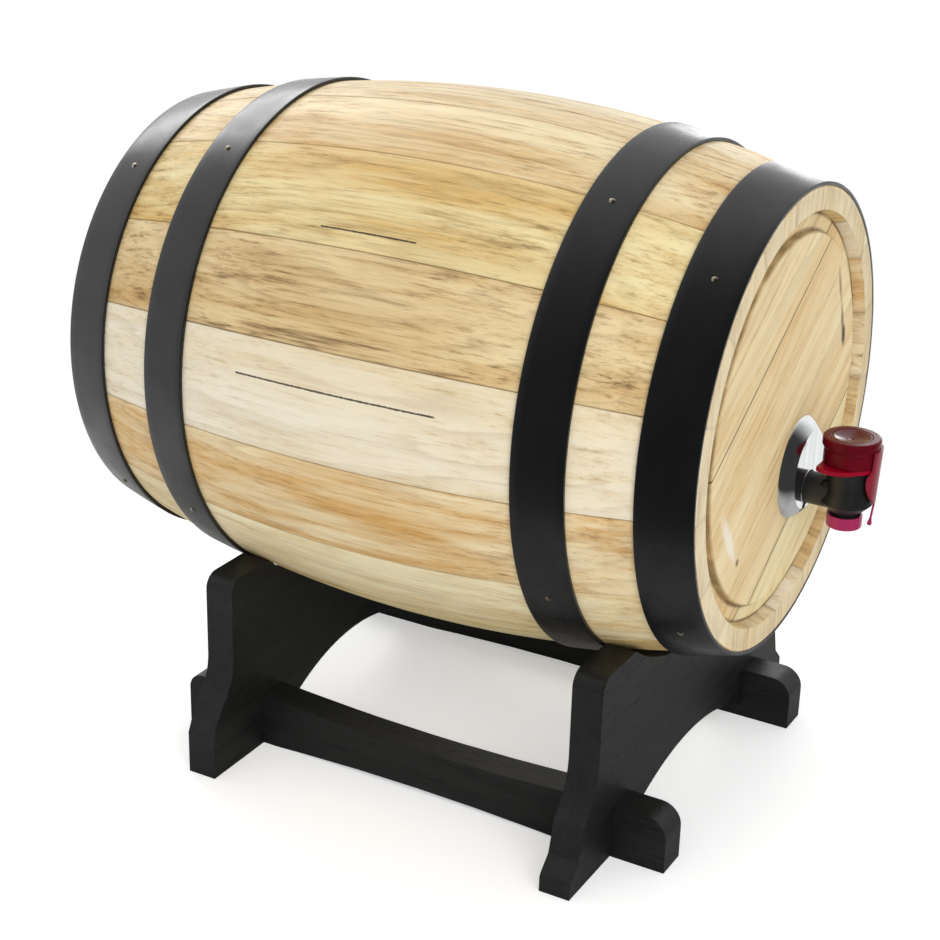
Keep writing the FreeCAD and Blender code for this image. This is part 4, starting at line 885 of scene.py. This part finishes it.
        # The end grain's edges ring is painted shade at the chime's inner edge.
        sawn = Wood("F6E7C2", "E6CA98", "957044", rings=420, streaks=0.25, contrast=0.7,
                    fibres=Fibres.ALONG_Z, heart=(0.02, 0.05, 0.3), gloss=0.62, joints=0.28,
                    edges=((0.1014, 0.0014, 0.85),)).material("stave_end_grain")
        for index, (start, end) in enumerate(self.spans(), start=1):
            heart = (0.11 * math.sin(2.3 * index), 0.37 * index,
                     -AXIS_HEIGHT + 0.09 * math.cos(1.7 * index))
            mine = tuple(rule for rule in self.rules if start < rule[0] < end)
            wood = replace(self.tones[index - 1], heart=heart, rules=mine, joints=0.38)
            stave = self.build_one(index, start, end)
            give(stave, wood.material(f"stave_oak_{index:02d}"), sawn)
            dress(stave, "cask", "cask_wood", f"stave_{index:02d}")


@dataclass
class Hoops:
    """The four black hoops, each a strip with eased edges between two y's, and their nails."""

    gauge: float = 0.002
    gap: float = 0.00002
    easing: float = 0.0006
    stations: int = 7
    bands: tuple[tuple[str, float, float], ...] = (
        ("front_chime_hoop", -0.15515, -0.12865),
        ("front_bilge_hoop", -0.0975, -0.0720),
        ("rear_bilge_hoop", 0.1113, 0.1368),
        ("rear_chime_hoop", 0.16835, 0.19485),
    )

    def build(self) -> None:
        """Make the bands from a rounded strip that follows the staves' bow, and dress them."""
        black = Moulded("161718", "0F1011", gloss=0.24, spread=0.10, fineness=1800,
                        breadth=45).material("hoop_black")
        for name, low, high in self.bands:
            y = np.linspace(low, high, self.stations)
            inner = np.c_[wood_radius(y) + self.gap, y]
            outer = np.c_[wood_radius(y) + self.gauge, y][::-1]
            corners = np.c_[np.r_[inner, outer], np.zeros(2 * self.stations)]
            corners[[0, self.stations - 1], 2] = self.easing / 2
            corners[[self.stations, -1], 2] = self.easing
            axis = Vector((0, 0, AXIS_HEIGHT))
            band = turned_piece(name + "_band", corners, axis, "Y", 256, closed=True, steps=3)
            dress(give(band, black), "cask", "hoop_steel", name)
        coat(Moulded("A8A190", "7E735C", gloss=0.30, metal=1.0, relief=0.1).material("nail_brass"),
             "hoop_nails")


# Its edges are painted shade: a dark ring in the groove round the raised panel, and one in the
# corner where the head's rim meets the chime.
HEAD_OAK = Wood("FBE7B8", "E7BF7E", "90602E", rings=75, streaks=0.22, fibres=Fibres.HEAD, bands=26,
                dashes=0.35, relief=0.2, contrast=0.85, sheen=0.3,
                edges=((0.0928, 0.0019, 0.75), (0.1009, 0.0017, 0.90)))
LID_OAK = Wood("E6C690", "D3AB6C", "8E6538", rings=85, streaks=0.4, fibres=Fibres.ALONG_X)


@dataclass
class Heads:
    """The front head and the rear lid, with their small pieces."""

    easing: float = 0.0005
    batten_easing: float = 0.0008
    # Dark streaks at the upper right, and a dark spot and a pale streak at the lower left, all on
    # a ring about 78 mm round the head's middle: painted shadow and painted highlight of a shallow
    # ring in the head.
    marks_and_painted_light: tuple[ShadeAndSeamStreak, ...] = (
        ShadeAndSeamStreak((0.0615, 0.2630), 23.0, 0.032, 0.0050, "7A5530", 0.70, 0.9),
        ShadeAndSeamStreak((0.0700, 0.2430), 20.0, 0.030, 0.0052, "5E3E20", 0.8, 0.9),
        ShadeAndSeamStreak((0.0740, 0.2335), 17.0, 0.016, 0.0072, "2E1C0E", 0.9, 0.6),
        ShadeAndSeamStreak((-0.0655, 0.1715), 33.0, 0.050, 0.0105, "FDF5E2", 0.8, 0.7),
        ShadeAndSeamStreak((-0.0516, 0.1545), 20.0, 0.006, 0.0050, "7A5630", 0.8, 0.6),
    )
    seams: tuple[ShadeAndSeamStreak, ...] = (
        ShadeAndSeamStreak((-0.0253, 0.25115), -58.4, 0.6, 0.0014, "3A280F", 0.75, 0.6),
        ShadeAndSeamStreak((0.02966, 0.16178), -58.4, 0.6, 0.0014, "3A280F", 0.75, 0.6),
    )

    def build(self) -> None:
        """Soften the boards' edges, and give each board and each kind of piece its finish."""
        high, low = self.seams
        shading_and_seams = (*self.marks_and_painted_light, high, low)
        boards = {
            "head_board_upper": ("FBEBC0", "E9C484", (0.10, 0.90, 0.16), (high,)),
            "head_board_middle": ("FBE7B8", "E7BF7E", (0.02, 0.18, 0.08), shading_and_seams),
            "head_board_lower": ("FBEDBE", "EBCB86", (0.17, 1.53, 0.23), (low,)),
            "lid_board_upper": ("EBD09B", "DBB87C", (0.13, 1.17, -0.08), ()),
            "lid_board_middle": ("E6C690", "D3AB6C", (0.05, 0.45, 0.0), ()),
            "lid_board_lower": ("EFD9A8", "DFC089", (0.20, 1.80, -0.15), ()),
        }
        for node, (pale, middle, heart, shade_and_seam_streaks) in boards.items():
            front = node.startswith("head")
            wood = replace(HEAD_OAK if front else LID_OAK, pale=pale, middle=middle, heart=heart,
                           shade_and_seam_streaks=shade_and_seam_streaks)
            board = give(softened(node, self.easing), wood.material(node + "_oak"))
            dress(board, *(("cask", "head_wood") if front else ("rear_lid", "lid_wood")), node)
        batten = Wood("E9CD98", "D6B076", "8A6236", rings=110, streaks=0.4, fibres=Fibres.ALONG_Z,
                      heart=(0.03, 0.1, 0.02)).material("batten_oak")
        for node in ("lid_batten_left", "lid_batten_right"):
            board = give(softened(node, self.batten_easing), batten)
            dress(board, "rear_lid", "lid_wood", node)
        ring = Wood("E8CC96", "D5AE73", "8A6236", rings=140, streaks=0.3, heart=(0.05, 0.2, 0.03))
        dowel = Wood("E2C18A", "C99F63", "7C5630", rings=300, streaks=0.2, fibres=Fibres.ALONG_Z,
                     heart=(0.01, 0.3, 0.07))
        steel = Moulded("C9CACA", "ABADAE", gloss=0.28, metal=1.0, relief=0.1)
        nickel = Moulded("BDBBB6", "A9A7A2", gloss=0.2, metal=1.0)
        coat(ring.material("ring_oak"), "lid_stop_ring")
        coat(dowel.material("dowel_beech"), "head_dowels")
        coat(steel.material("small_steel"), "lid_screws", "lid_keepers", "stand_screws")
        coat(nickel.material("magnet_nickel"), "lid_magnets")


# ---------------------------------------------------------------- gland, tap and bag

TAP_FINISHES = {
    "tap_black": Moulded("262727", "1E1F1F", gloss=0.36, spread=0.1, relief=0.06),
    "collar_black": Moulded("1C1D1D", "141515", gloss=0.30, spread=0.12),
    "cap_wine_red": Moulded("640A1A", "5A0716", gloss=0.22, spread=0.06, sheen=0.14),
    "wing_red": Moulded("980426", "8E0322", gloss=0.28, spread=0.06, sheen=0.2, glow=0.1),
    "tongue_red": Moulded("8E1E32", "821A2C", gloss=0.32, sheen=0.35, glow=0.1),
    "dust_cap_pink": Moulded("B02A62", "A3245A", gloss=0.30, spread=0.06, glow=0.15),
    "plate_polished": Moulded("EDEEEE", "DCDEDF", gloss=0.07, spread=0.07, metal=1.0,
                              fineness=900, breadth=200, brushed=(1.0, 1.0, 0.08)),
    "spout_white": Moulded("D8D6CF", "CCC9C1", gloss=0.4, glow=0.2),
    "seal_rubber": Moulded("2A2A2B", "202021", gloss=0.6, relief=0.15),
    "button_wine_red": Moulded("5C0A1A", "520817", gloss=0.14, spread=0.05),
}


@dataclass
class Tap:
    """The collar, its steel plate, and the tap with its cap, button, wings and dust cap.

    Attributes:
        panel, face: y of the head's raised panel, and of the plate's flat face.
        rise: height of the plate's middle above the tube's axis.
        bend: how far the plate's skirt spreads from its face to its rim.
        slit_turn: direction of the slit round the tube's axis, in degrees from the top.
        slit_reach: distance from the tube's axis to the slit's mouth.
    """

    panel: float = -0.15275
    rise: float = 0.0093
    face: float = -0.15915
    gauge: float = 0.0008
    plate_radius: float = 0.0268
    face_radius: float = 0.0202
    bend: float = 0.0060
    hole_radius: float = 0.0088
    press: float = 0.0035
    slit_turn: float = 202.0
    slit_half: float = 0.0021
    slit_reach: float = 0.01795
    slit_corner: float = 0.0055
    stations: int = 160

    def build_button(self) -> Piece:
        """The dished push button with a small gate mark in the middle of its hollow.

        Returns:
            The button: its hollow is a circle's arc, broken by a shallow dimple.
        """
        lip, depth, top = 0.0093, 0.0015, 0.20030
        wall, flange, step, base = 0.00985, 0.0116, 0.19885, 0.19705
        bowl = (lip**2 + depth**2) / (2 * depth)
        r = np.linspace(0.0012, lip, 12)
        hollow = np.c_[r, top - depth + bowl - np.sqrt(bowl**2 - r**2), 0 * r]
        gate = top - depth - 0.0003
        corners = np.r_[
            [(0.0, gate, 0.0), (0.0007, gate, 0.0), (0.0010, top - depth - 0.0001, 0.0)],
            hollow,
            [(0.00975, top - 0.00005, 0.0003), (wall, top - 0.0012, 0.0), (wall, step, 0.0),
             (flange, step, 0.0002), (flange, base, 0.0002), (0.0, base, 0.0)],
        ]
        return turned_piece("button_moulding", corners, Vector((TAP_X, TAP_Y, 0.0)), "Z", 96)

    def rings(self, rows: np.ndarray, slit: float) -> np.ndarray:
        """Rings round the tube or round the plate, open where the slit is.

        A ring's ends lie on the slit's sides, which run straight out from the tube and flare in
        a quarter circle to the plate's rim.

        Args:
            rows: (shift of the ring's centre above the tube, its radius, its y) of each ring.
            slit: half of the slit's width; nought for closed rings.

        Returns:
            An array of rings by stations by coordinates.
        """
        shift, radius, y = rows.T
        down = math.radians(self.slit_turn)
        start, end = np.full(len(rows), down), np.full(len(rows), down + 2 * math.pi)

        def flare(out: np.ndarray) -> np.ndarray:
            """Half of the slit's width at a distance from the tube's axis."""
            bend = np.clip(out - self.slit_reach + self.slit_corner, 0, None)
            return slit + self.slit_corner - np.sqrt(self.slit_corner**2 - bend**2)

        def side(sign: int) -> np.ndarray:
            """Angle, round each ring's own centre, at which it meets a side of the slit."""
            along = np.linspace(0, self.slit_reach, 600)
            reach = np.hypot(sign * flare(along) - shift[:, None] * math.sin(down),
                             along - shift[:, None] * math.cos(down))
            out = np.array([np.interp(r, line, along) for r, line in zip(radius, reach)])
            return np.arctan2(sign * flare(out) - shift * math.sin(down),
                              out - shift * math.cos(down))

        if slit:
            start, end = down - side(-1), down + 2 * math.pi - side(1)
        share = np.linspace(0, 1, self.stations, endpoint=bool(slit))
        turn = start[:, None] + (end - start)[:, None] * share
        x = TAP_X + radius[:, None] * np.sin(turn)
        z = TUBE_HEIGHT + shift[:, None] + radius[:, None] * np.cos(turn)
        return np.stack([x, y[:, None] + 0 * turn, z], -1)

    def build_plate(self) -> Piece:
        """The cover plate: thin sheet with a crisp edge between its flat face and its skirt.

        The sheet's outside is a row of rings from the hole to the rim, and its inside follows
        at the sheet's thickness, which is less across the skirt than across the face.

        Returns:
            The plate, which stands for its node.
        """
        hole, face, back = self.hole_radius, self.face, self.face + self.gauge
        share = np.linspace(0.05, 1, 14)
        corners = [(-0.0005, 0.0, 0.0), (0.0, 0.0, 0.0003), (0.00034, 0.00026, 0.0)]
        crease = rounded(corners, 4, closed=False)
        skirt = np.c_[self.bend * 1.1 * share, self.bend * (0.85 * share + 0.15 * share**5)]
        bent = np.r_[crease, skirt]
        outer = np.r_[
            [(0.0, hole, face + 0.0002), (0.0, hole + 0.00006, face + 0.00006),
             (0.0, hole + 0.0002, face), (0.0, hole + 0.0006, face)],
            np.c_[np.full(len(bent), self.rise), self.face_radius + bent[:, 0], face + bent[:, 1]],
            [(self.rise, self.plate_radius, self.panel)],
        ]
        away = np.clip((outer[:, 1] - self.face_radius + 0.0005) / 0.0006, 0, 1)
        away = away * (outer[:, 0] > 0)
        inner = outer.copy()
        inner[:, 1] -= 0.7 * self.gauge * away
        follow = back + (outer[:, 2] - face) * away - 0.3 * self.gauge * away
        inner[:, 2] = np.minimum(follow, self.panel)
        inner[-2:, 1] = self.plate_radius - self.gauge
        inner[-2:, 2] = self.panel - 0.0002, self.panel
        inner[:3, 2] = back
        count = len(outer)
        points = self.rings(np.r_[outer, inner[::-1]], self.slit_half)
        faces = list(grid_quads(2 * count, self.stations, True, False))
        out, home = np.arange(count - 1), 2 * count - 1 - np.arange(count - 1)
        for end in (0, self.stations - 1):
            faces += list(np.stack([out, out + 1, home - 1, home], -1) * self.stations + end)
        return make_piece("plate_sheet", points, faces, 50)

    def build_core(self) -> Piece:
        """The black collar under the plate, with the spout's seat and the tube's hole.

        Returns:
            The collar, which stands for its node.
        """
        seat, tube, face, rim = 0.01365, 0.0085, -0.15805, 0.0254
        rows = np.array([
            (0, seat, self.panel), (0, seat, -0.15580), (0, tube, -0.15580), (0, tube, face),
            (self.rise, 0.0192, face), (self.rise, rim, -0.1533), (self.rise, rim, self.panel),
        ])
        faces = list(grid_quads(len(rows), self.stations, True, True))
        return make_piece("collar_core", self.rings(rows, 0.0), faces)

    def build_lip(self) -> Piece:
        """The rolled edge of the plate's hole: a thin round bead, open where the slit is.

        Returns:
            The bead: a small ring of points carried round the hole.
        """
        rings, sides, thick = 110, 10, 0.00028
        turn = np.radians(np.linspace(-142.0, 186.0, rings))[:, None]
        around = np.linspace(0, 2 * math.pi, sides, endpoint=False)[None, :]
        radius = self.hole_radius + 0.00012 + thick * np.cos(around)
        y = self.face - 0.00010 + thick * np.sin(around) + 0 * turn
        x, z = TAP_X + radius * np.sin(turn), TUBE_HEIGHT + radius * np.cos(turn)
        points = np.stack([x, y, z], -1)
        return make_piece("plate_hole_lip", points, tube_faces(rings, sides), 60)

    def build(self) -> None:
        """Make and dress the gland and the tap."""
        finish = {name: surface.material(name) for name, surface in TAP_FINISHES.items()}
        plan = (
            ("spout", 0.0003, "spout_white", "cask", "spout_plastic"),
            ("tap_body", 0.0004, "tap_black", "tap", "black_plastic"),
            ("tap_cap", 0.0004, "cap_wine_red", "tap", "cap_plastic"),
            ("finger_wings", 0.0005, "wing_red", "tap", "wing_plastic"),
            ("tamper_panel", 0.0003, "tongue_red", "tap", "wing_plastic"),
            ("dust_cap", 0.0003, "dust_cap_pink", "dust_cap", "dust_cap_plastic"),
        )
        for node, width, name, body, slot in plan:
            dress(give(softened(node, width), finish[name]), body, slot, node)
        made = (
            (self.build_button, "button_wine_red", "button", "cap_plastic", "push_button"),
            (self.build_plate, "plate_polished", "cask", "plate_steel", "collar_plate"),
            (self.build_core, "collar_black", "cask", "black_plastic", "gland_collar"),
            (self.build_lip, "plate_polished", "cask", "plate_steel"),
        )
        for build, name, *ties in made:
            dress(give(build(), finish[name]), *ties)
        coat(finish["dust_cap_pink"], "tear_tab")
        coat(finish["spout_white"], "valve_stem")
        coat(finish["seal_rubber"], "tube_ring_seal", "valve_disc", "stem_seal")
        dome = give(softened("return_dome", 0.0001), finish["seal_rubber"])
        dress(dome, "tap", "seal_rubber", "return_dome")
        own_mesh(dome)


@dataclass
class WineBag:
    """The filled film bag that lies in the bottom of the cask."""

    front: float = -0.1300
    back: float = 0.1170
    level: float = 0.2030
    bottom: float = 0.0885
    half_width: float = 0.113
    rim: float = 0.004
    rows: int = 90
    columns: int = 120

    def build(self) -> None:
        """Make the bag's skin and dress it.

        At every station along the bag its section is a bowl under a level top, its corners
        rounded by a power, drawn together towards the ends and creased along them.
        """
        t = np.linspace(0, 1, self.rows)[:, None]
        u = np.linspace(0, 2 * math.pi, self.columns, endpoint=False)[None, :]
        y = self.front + (self.back - self.front) * t
        endward = np.abs(2 * t - 1)
        full = (1 - endward**5) ** 0.5
        depth = (self.level - self.bottom) * (0.10 + 0.90 * full)
        side = np.sign(np.sin(u)) * np.abs(np.sin(u)) ** 0.75
        rise = np.sign(np.cos(u)) * np.abs(np.cos(u)) ** 0.85
        crease = 0.0016 * np.sin(9 * u + 14 * t) * endward**3
        crease = crease + 0.0009 * np.sin(5 * u - 31 * t) * (1 - full * 0.6)
        x = side * (self.half_width * full)
        bow = np.interp(np.abs(x), [0, 0.06, 0.09, self.half_width], [1.0, 0.90, 0.70, 0.42])
        low = self.level - depth * bow
        top = self.level - self.rim * (1 - rise) - 0.002 * (1 - full)
        bowl = self.level - self.rim + (low - self.level + self.rim) * -rise
        z = np.minimum(np.where(rise >= 0, top, bowl) + crease, self.level)
        points = np.stack([x, np.broadcast_to(y, x.shape), z], -1)
        bag = make_piece("wine_bag_film", points, tube_faces(self.rows, self.columns), 60)
        film = Moulded("A9A39B", "8C857C", gloss=0.18, spread=0.10, metal=0.75, relief=0.2,
                       fineness=500, breadth=35).material("bag_film")
        dress(give(bag, film), "cask", "bag_film", "wine_bag")


# ---------------------------------------------------------------- stand


@dataclass
class Stand:
    """The black stained stand: two cradles on two stretchers."""

    easing: float = 0.0014

    def build(self) -> None:
        """Soften the boards' edges and stain them."""
        plan = (
            ("front_cradle", Fibres.ALONG_X, 0.4),
            ("rear_cradle", Fibres.ALONG_X, 0.9),
            ("left_stretcher", Fibres.ALONG_Y, 1.3),
            ("right_stretcher", Fibres.ALONG_Y, 1.8),
        )
        for node, fibres, shift in plan:
            wood = Wood("222322", "1A1B1A", "0E0F0E", rings=90, fibres=fibres, gloss=0.42,
                        heart=(0.02 * shift, shift, 0.05), relief=0.5, sheen=0.3)
            board = give(softened(node, self.easing, 3), wood.material(node + "_stain"))
            dress(board, "stand", "stand_wood", node)


# ---------------------------------------------------------------- stage


@dataclass(frozen=True)
class Lamp:
    """A soft square lamp at a place, its power in watts, and whether it shows in mirrors."""

    name: str
    place: Triple
    aim: Triple
    size: float
    power: float
    mirrored: bool = True

    def hang(self) -> None:
        """Put the lamp in its place and point it at its aim."""
        data = bpy.data.lights.new(self.name, "AREA")
        data.size = self.size
        data.energy = self.power
        lamp = add_object(self.name, data)
        lamp.visible_glossy = self.mirrored
        turn = (Vector(self.aim) - Vector(self.place)).to_track_quat("-Z", "Y")
        lamp.matrix_world = Matrix.Translation(self.place) @ turn.to_matrix().to_4x4()


@dataclass
class Studio:
    """Camera, floor and light. The camera's azimuth, elevation and roll are in degrees.

    The floor fades out between two distances, and no wall is lit on the dark side.
    """

    spot: Triple = (-0.8503, -0.44935, 0.5473)
    azimuth: float = -61.004
    elevation: float = 22.496
    roll: float = 1.547
    lens: float = 75.0
    floor_radius: float = 2.2
    fade: tuple[float, float] = (0.25, 0.44)
    dark_side: Triple = (-0.6, -0.8, 0.0)
    lamps: tuple[Lamp, ...] = (
        Lamp("key", (0.9, 1.35, 1.35), (0, 0, 0.2), 1.0, 13.0),
        Lamp("fill", (-1.3, -1.3, 1.0), (0, 0, 0.2), 1.4, 15.5, mirrored=False),
        Lamp("side", (2.0, 0.3, 0.55), (0, -0.1, 0.2), 0.6, 5.0),
    )

    def build_floor(self) -> None:
        """A pale round floor that fades into the white background.

        It glows a little to the camera, which lightens the shadows, and is darker in mirrors.
        """
        angle = np.linspace(0, 2 * math.pi, 96, endpoint=False)
        points = self.floor_radius * np.stack([np.cos(angle), np.sin(angle), 0 * angle], -1)
        mesh = bpy.data.meshes.new("floor")
        mesh.from_pydata(points.tolist(), [], [list(range(len(angle)))])
        floor = add_object("floor", mesh)
        material, w, shader = new_material("pale_floor")
        reach = w.vectors("LENGTH", w.add("ShaderNodeTexCoord").outputs["Object"])
        path = w.add("ShaderNodeLightPath").outputs
        w.feed(shader, {
            "Roughness": 0.7,
            "Specular IOR Level": 0.1,
            "Alpha": w.less(1.0, w.ramp(reach, *self.fade)),
            "Base Color": w.maths("MULTIPLY_ADD", path["Is Glossy Ray"], -0.40, 0.92),
            "Emission Color": (1, 1, 1, 1),
            "Emission Strength": w.times(path["Is Camera Ray"], 0.40),
        })
        give(floor, material)

    def build_world(self) -> None:
        """White for what the camera sees, an even light for the rest, and one unlit side.

        A mirrored direction is white, but falls off smoothly to a dark grey towards the dark
        side of the studio.
        """
        world = bpy.data.worlds.new("studio")
        bpy.context.scene.world = world
        world.use_nodes = True
        world.node_tree.nodes.clear()
        w = Wiring(world.node_tree)
        path = w.add("ShaderNodeLightPath").outputs
        toward = w.add("ShaderNodeTexCoord").outputs["Generated"]
        aside = w.vectors("DOT_PRODUCT", toward, self.dark_side)
        unlit = w.times(w.ramp(aside, -0.35, 0.50), 0.96)
        mirrored = w.times(path["Is Glossy Ray"], w.less(1.0, unlit))
        clear = w.maths("MAXIMUM", path["Is Camera Ray"], path["Is Transmission Ray"])
        plain = w.less(1.0, w.maths("MAXIMUM", clear, path["Is Glossy Ray"]))
        strength = w.maths("ADD", w.maths("MAXIMUM", clear, mirrored), w.times(plain, 0.66))
        back = w.add("ShaderNodeBackground", {"Color": (1, 1, 1, 1), "Strength": strength})
        w.add("ShaderNodeOutputWorld", {"Surface": back.outputs[0]})

    def build_camera(self) -> None:
        """The camera, turned by its azimuth, elevation and roll."""
        azimuth, elevation, roll = np.radians([self.azimuth, self.elevation, self.roll])
        back = Vector((math.sin(azimuth) * math.cos(elevation),
                       -math.cos(azimuth) * math.cos(elevation), math.sin(elevation)))
        right = (-back).cross(Vector((0, 0, 1))).normalized()
        up = right.cross(-back)
        aside = right * math.cos(roll) + up * math.sin(roll)
        above = up * math.cos(roll) - right * math.sin(roll)
        data = bpy.data.cameras.new("camera")
        data.lens = self.lens
        data.sensor_width = 36.0
        data.clip_start = 0.01
        camera = add_object("camera", data)
        turn = Matrix((aside, above, back)).transposed().to_4x4()
        camera.matrix_world = Matrix.Translation(self.spot) @ turn
        bpy.context.scene.camera = camera

    def build(self) -> None:
        """Set the stage."""
        self.build_camera()
        self.build_floor()
        self.build_world()
        for lamp in self.lamps:
            lamp.hang()
        bpy.context.scene.view_settings.view_transform = "Standard"


def main() -> None:
    """Build the studio and every sub-assembly in order."""
    logging.basicConfig(level=logging.INFO, format="%(message)s")
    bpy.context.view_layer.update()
    for part in (Studio(), Staves(), Hoops(), Heads(), Tap(), WineBag(), Stand()):
        part.build()


if __name__ == "__main__":
    main()
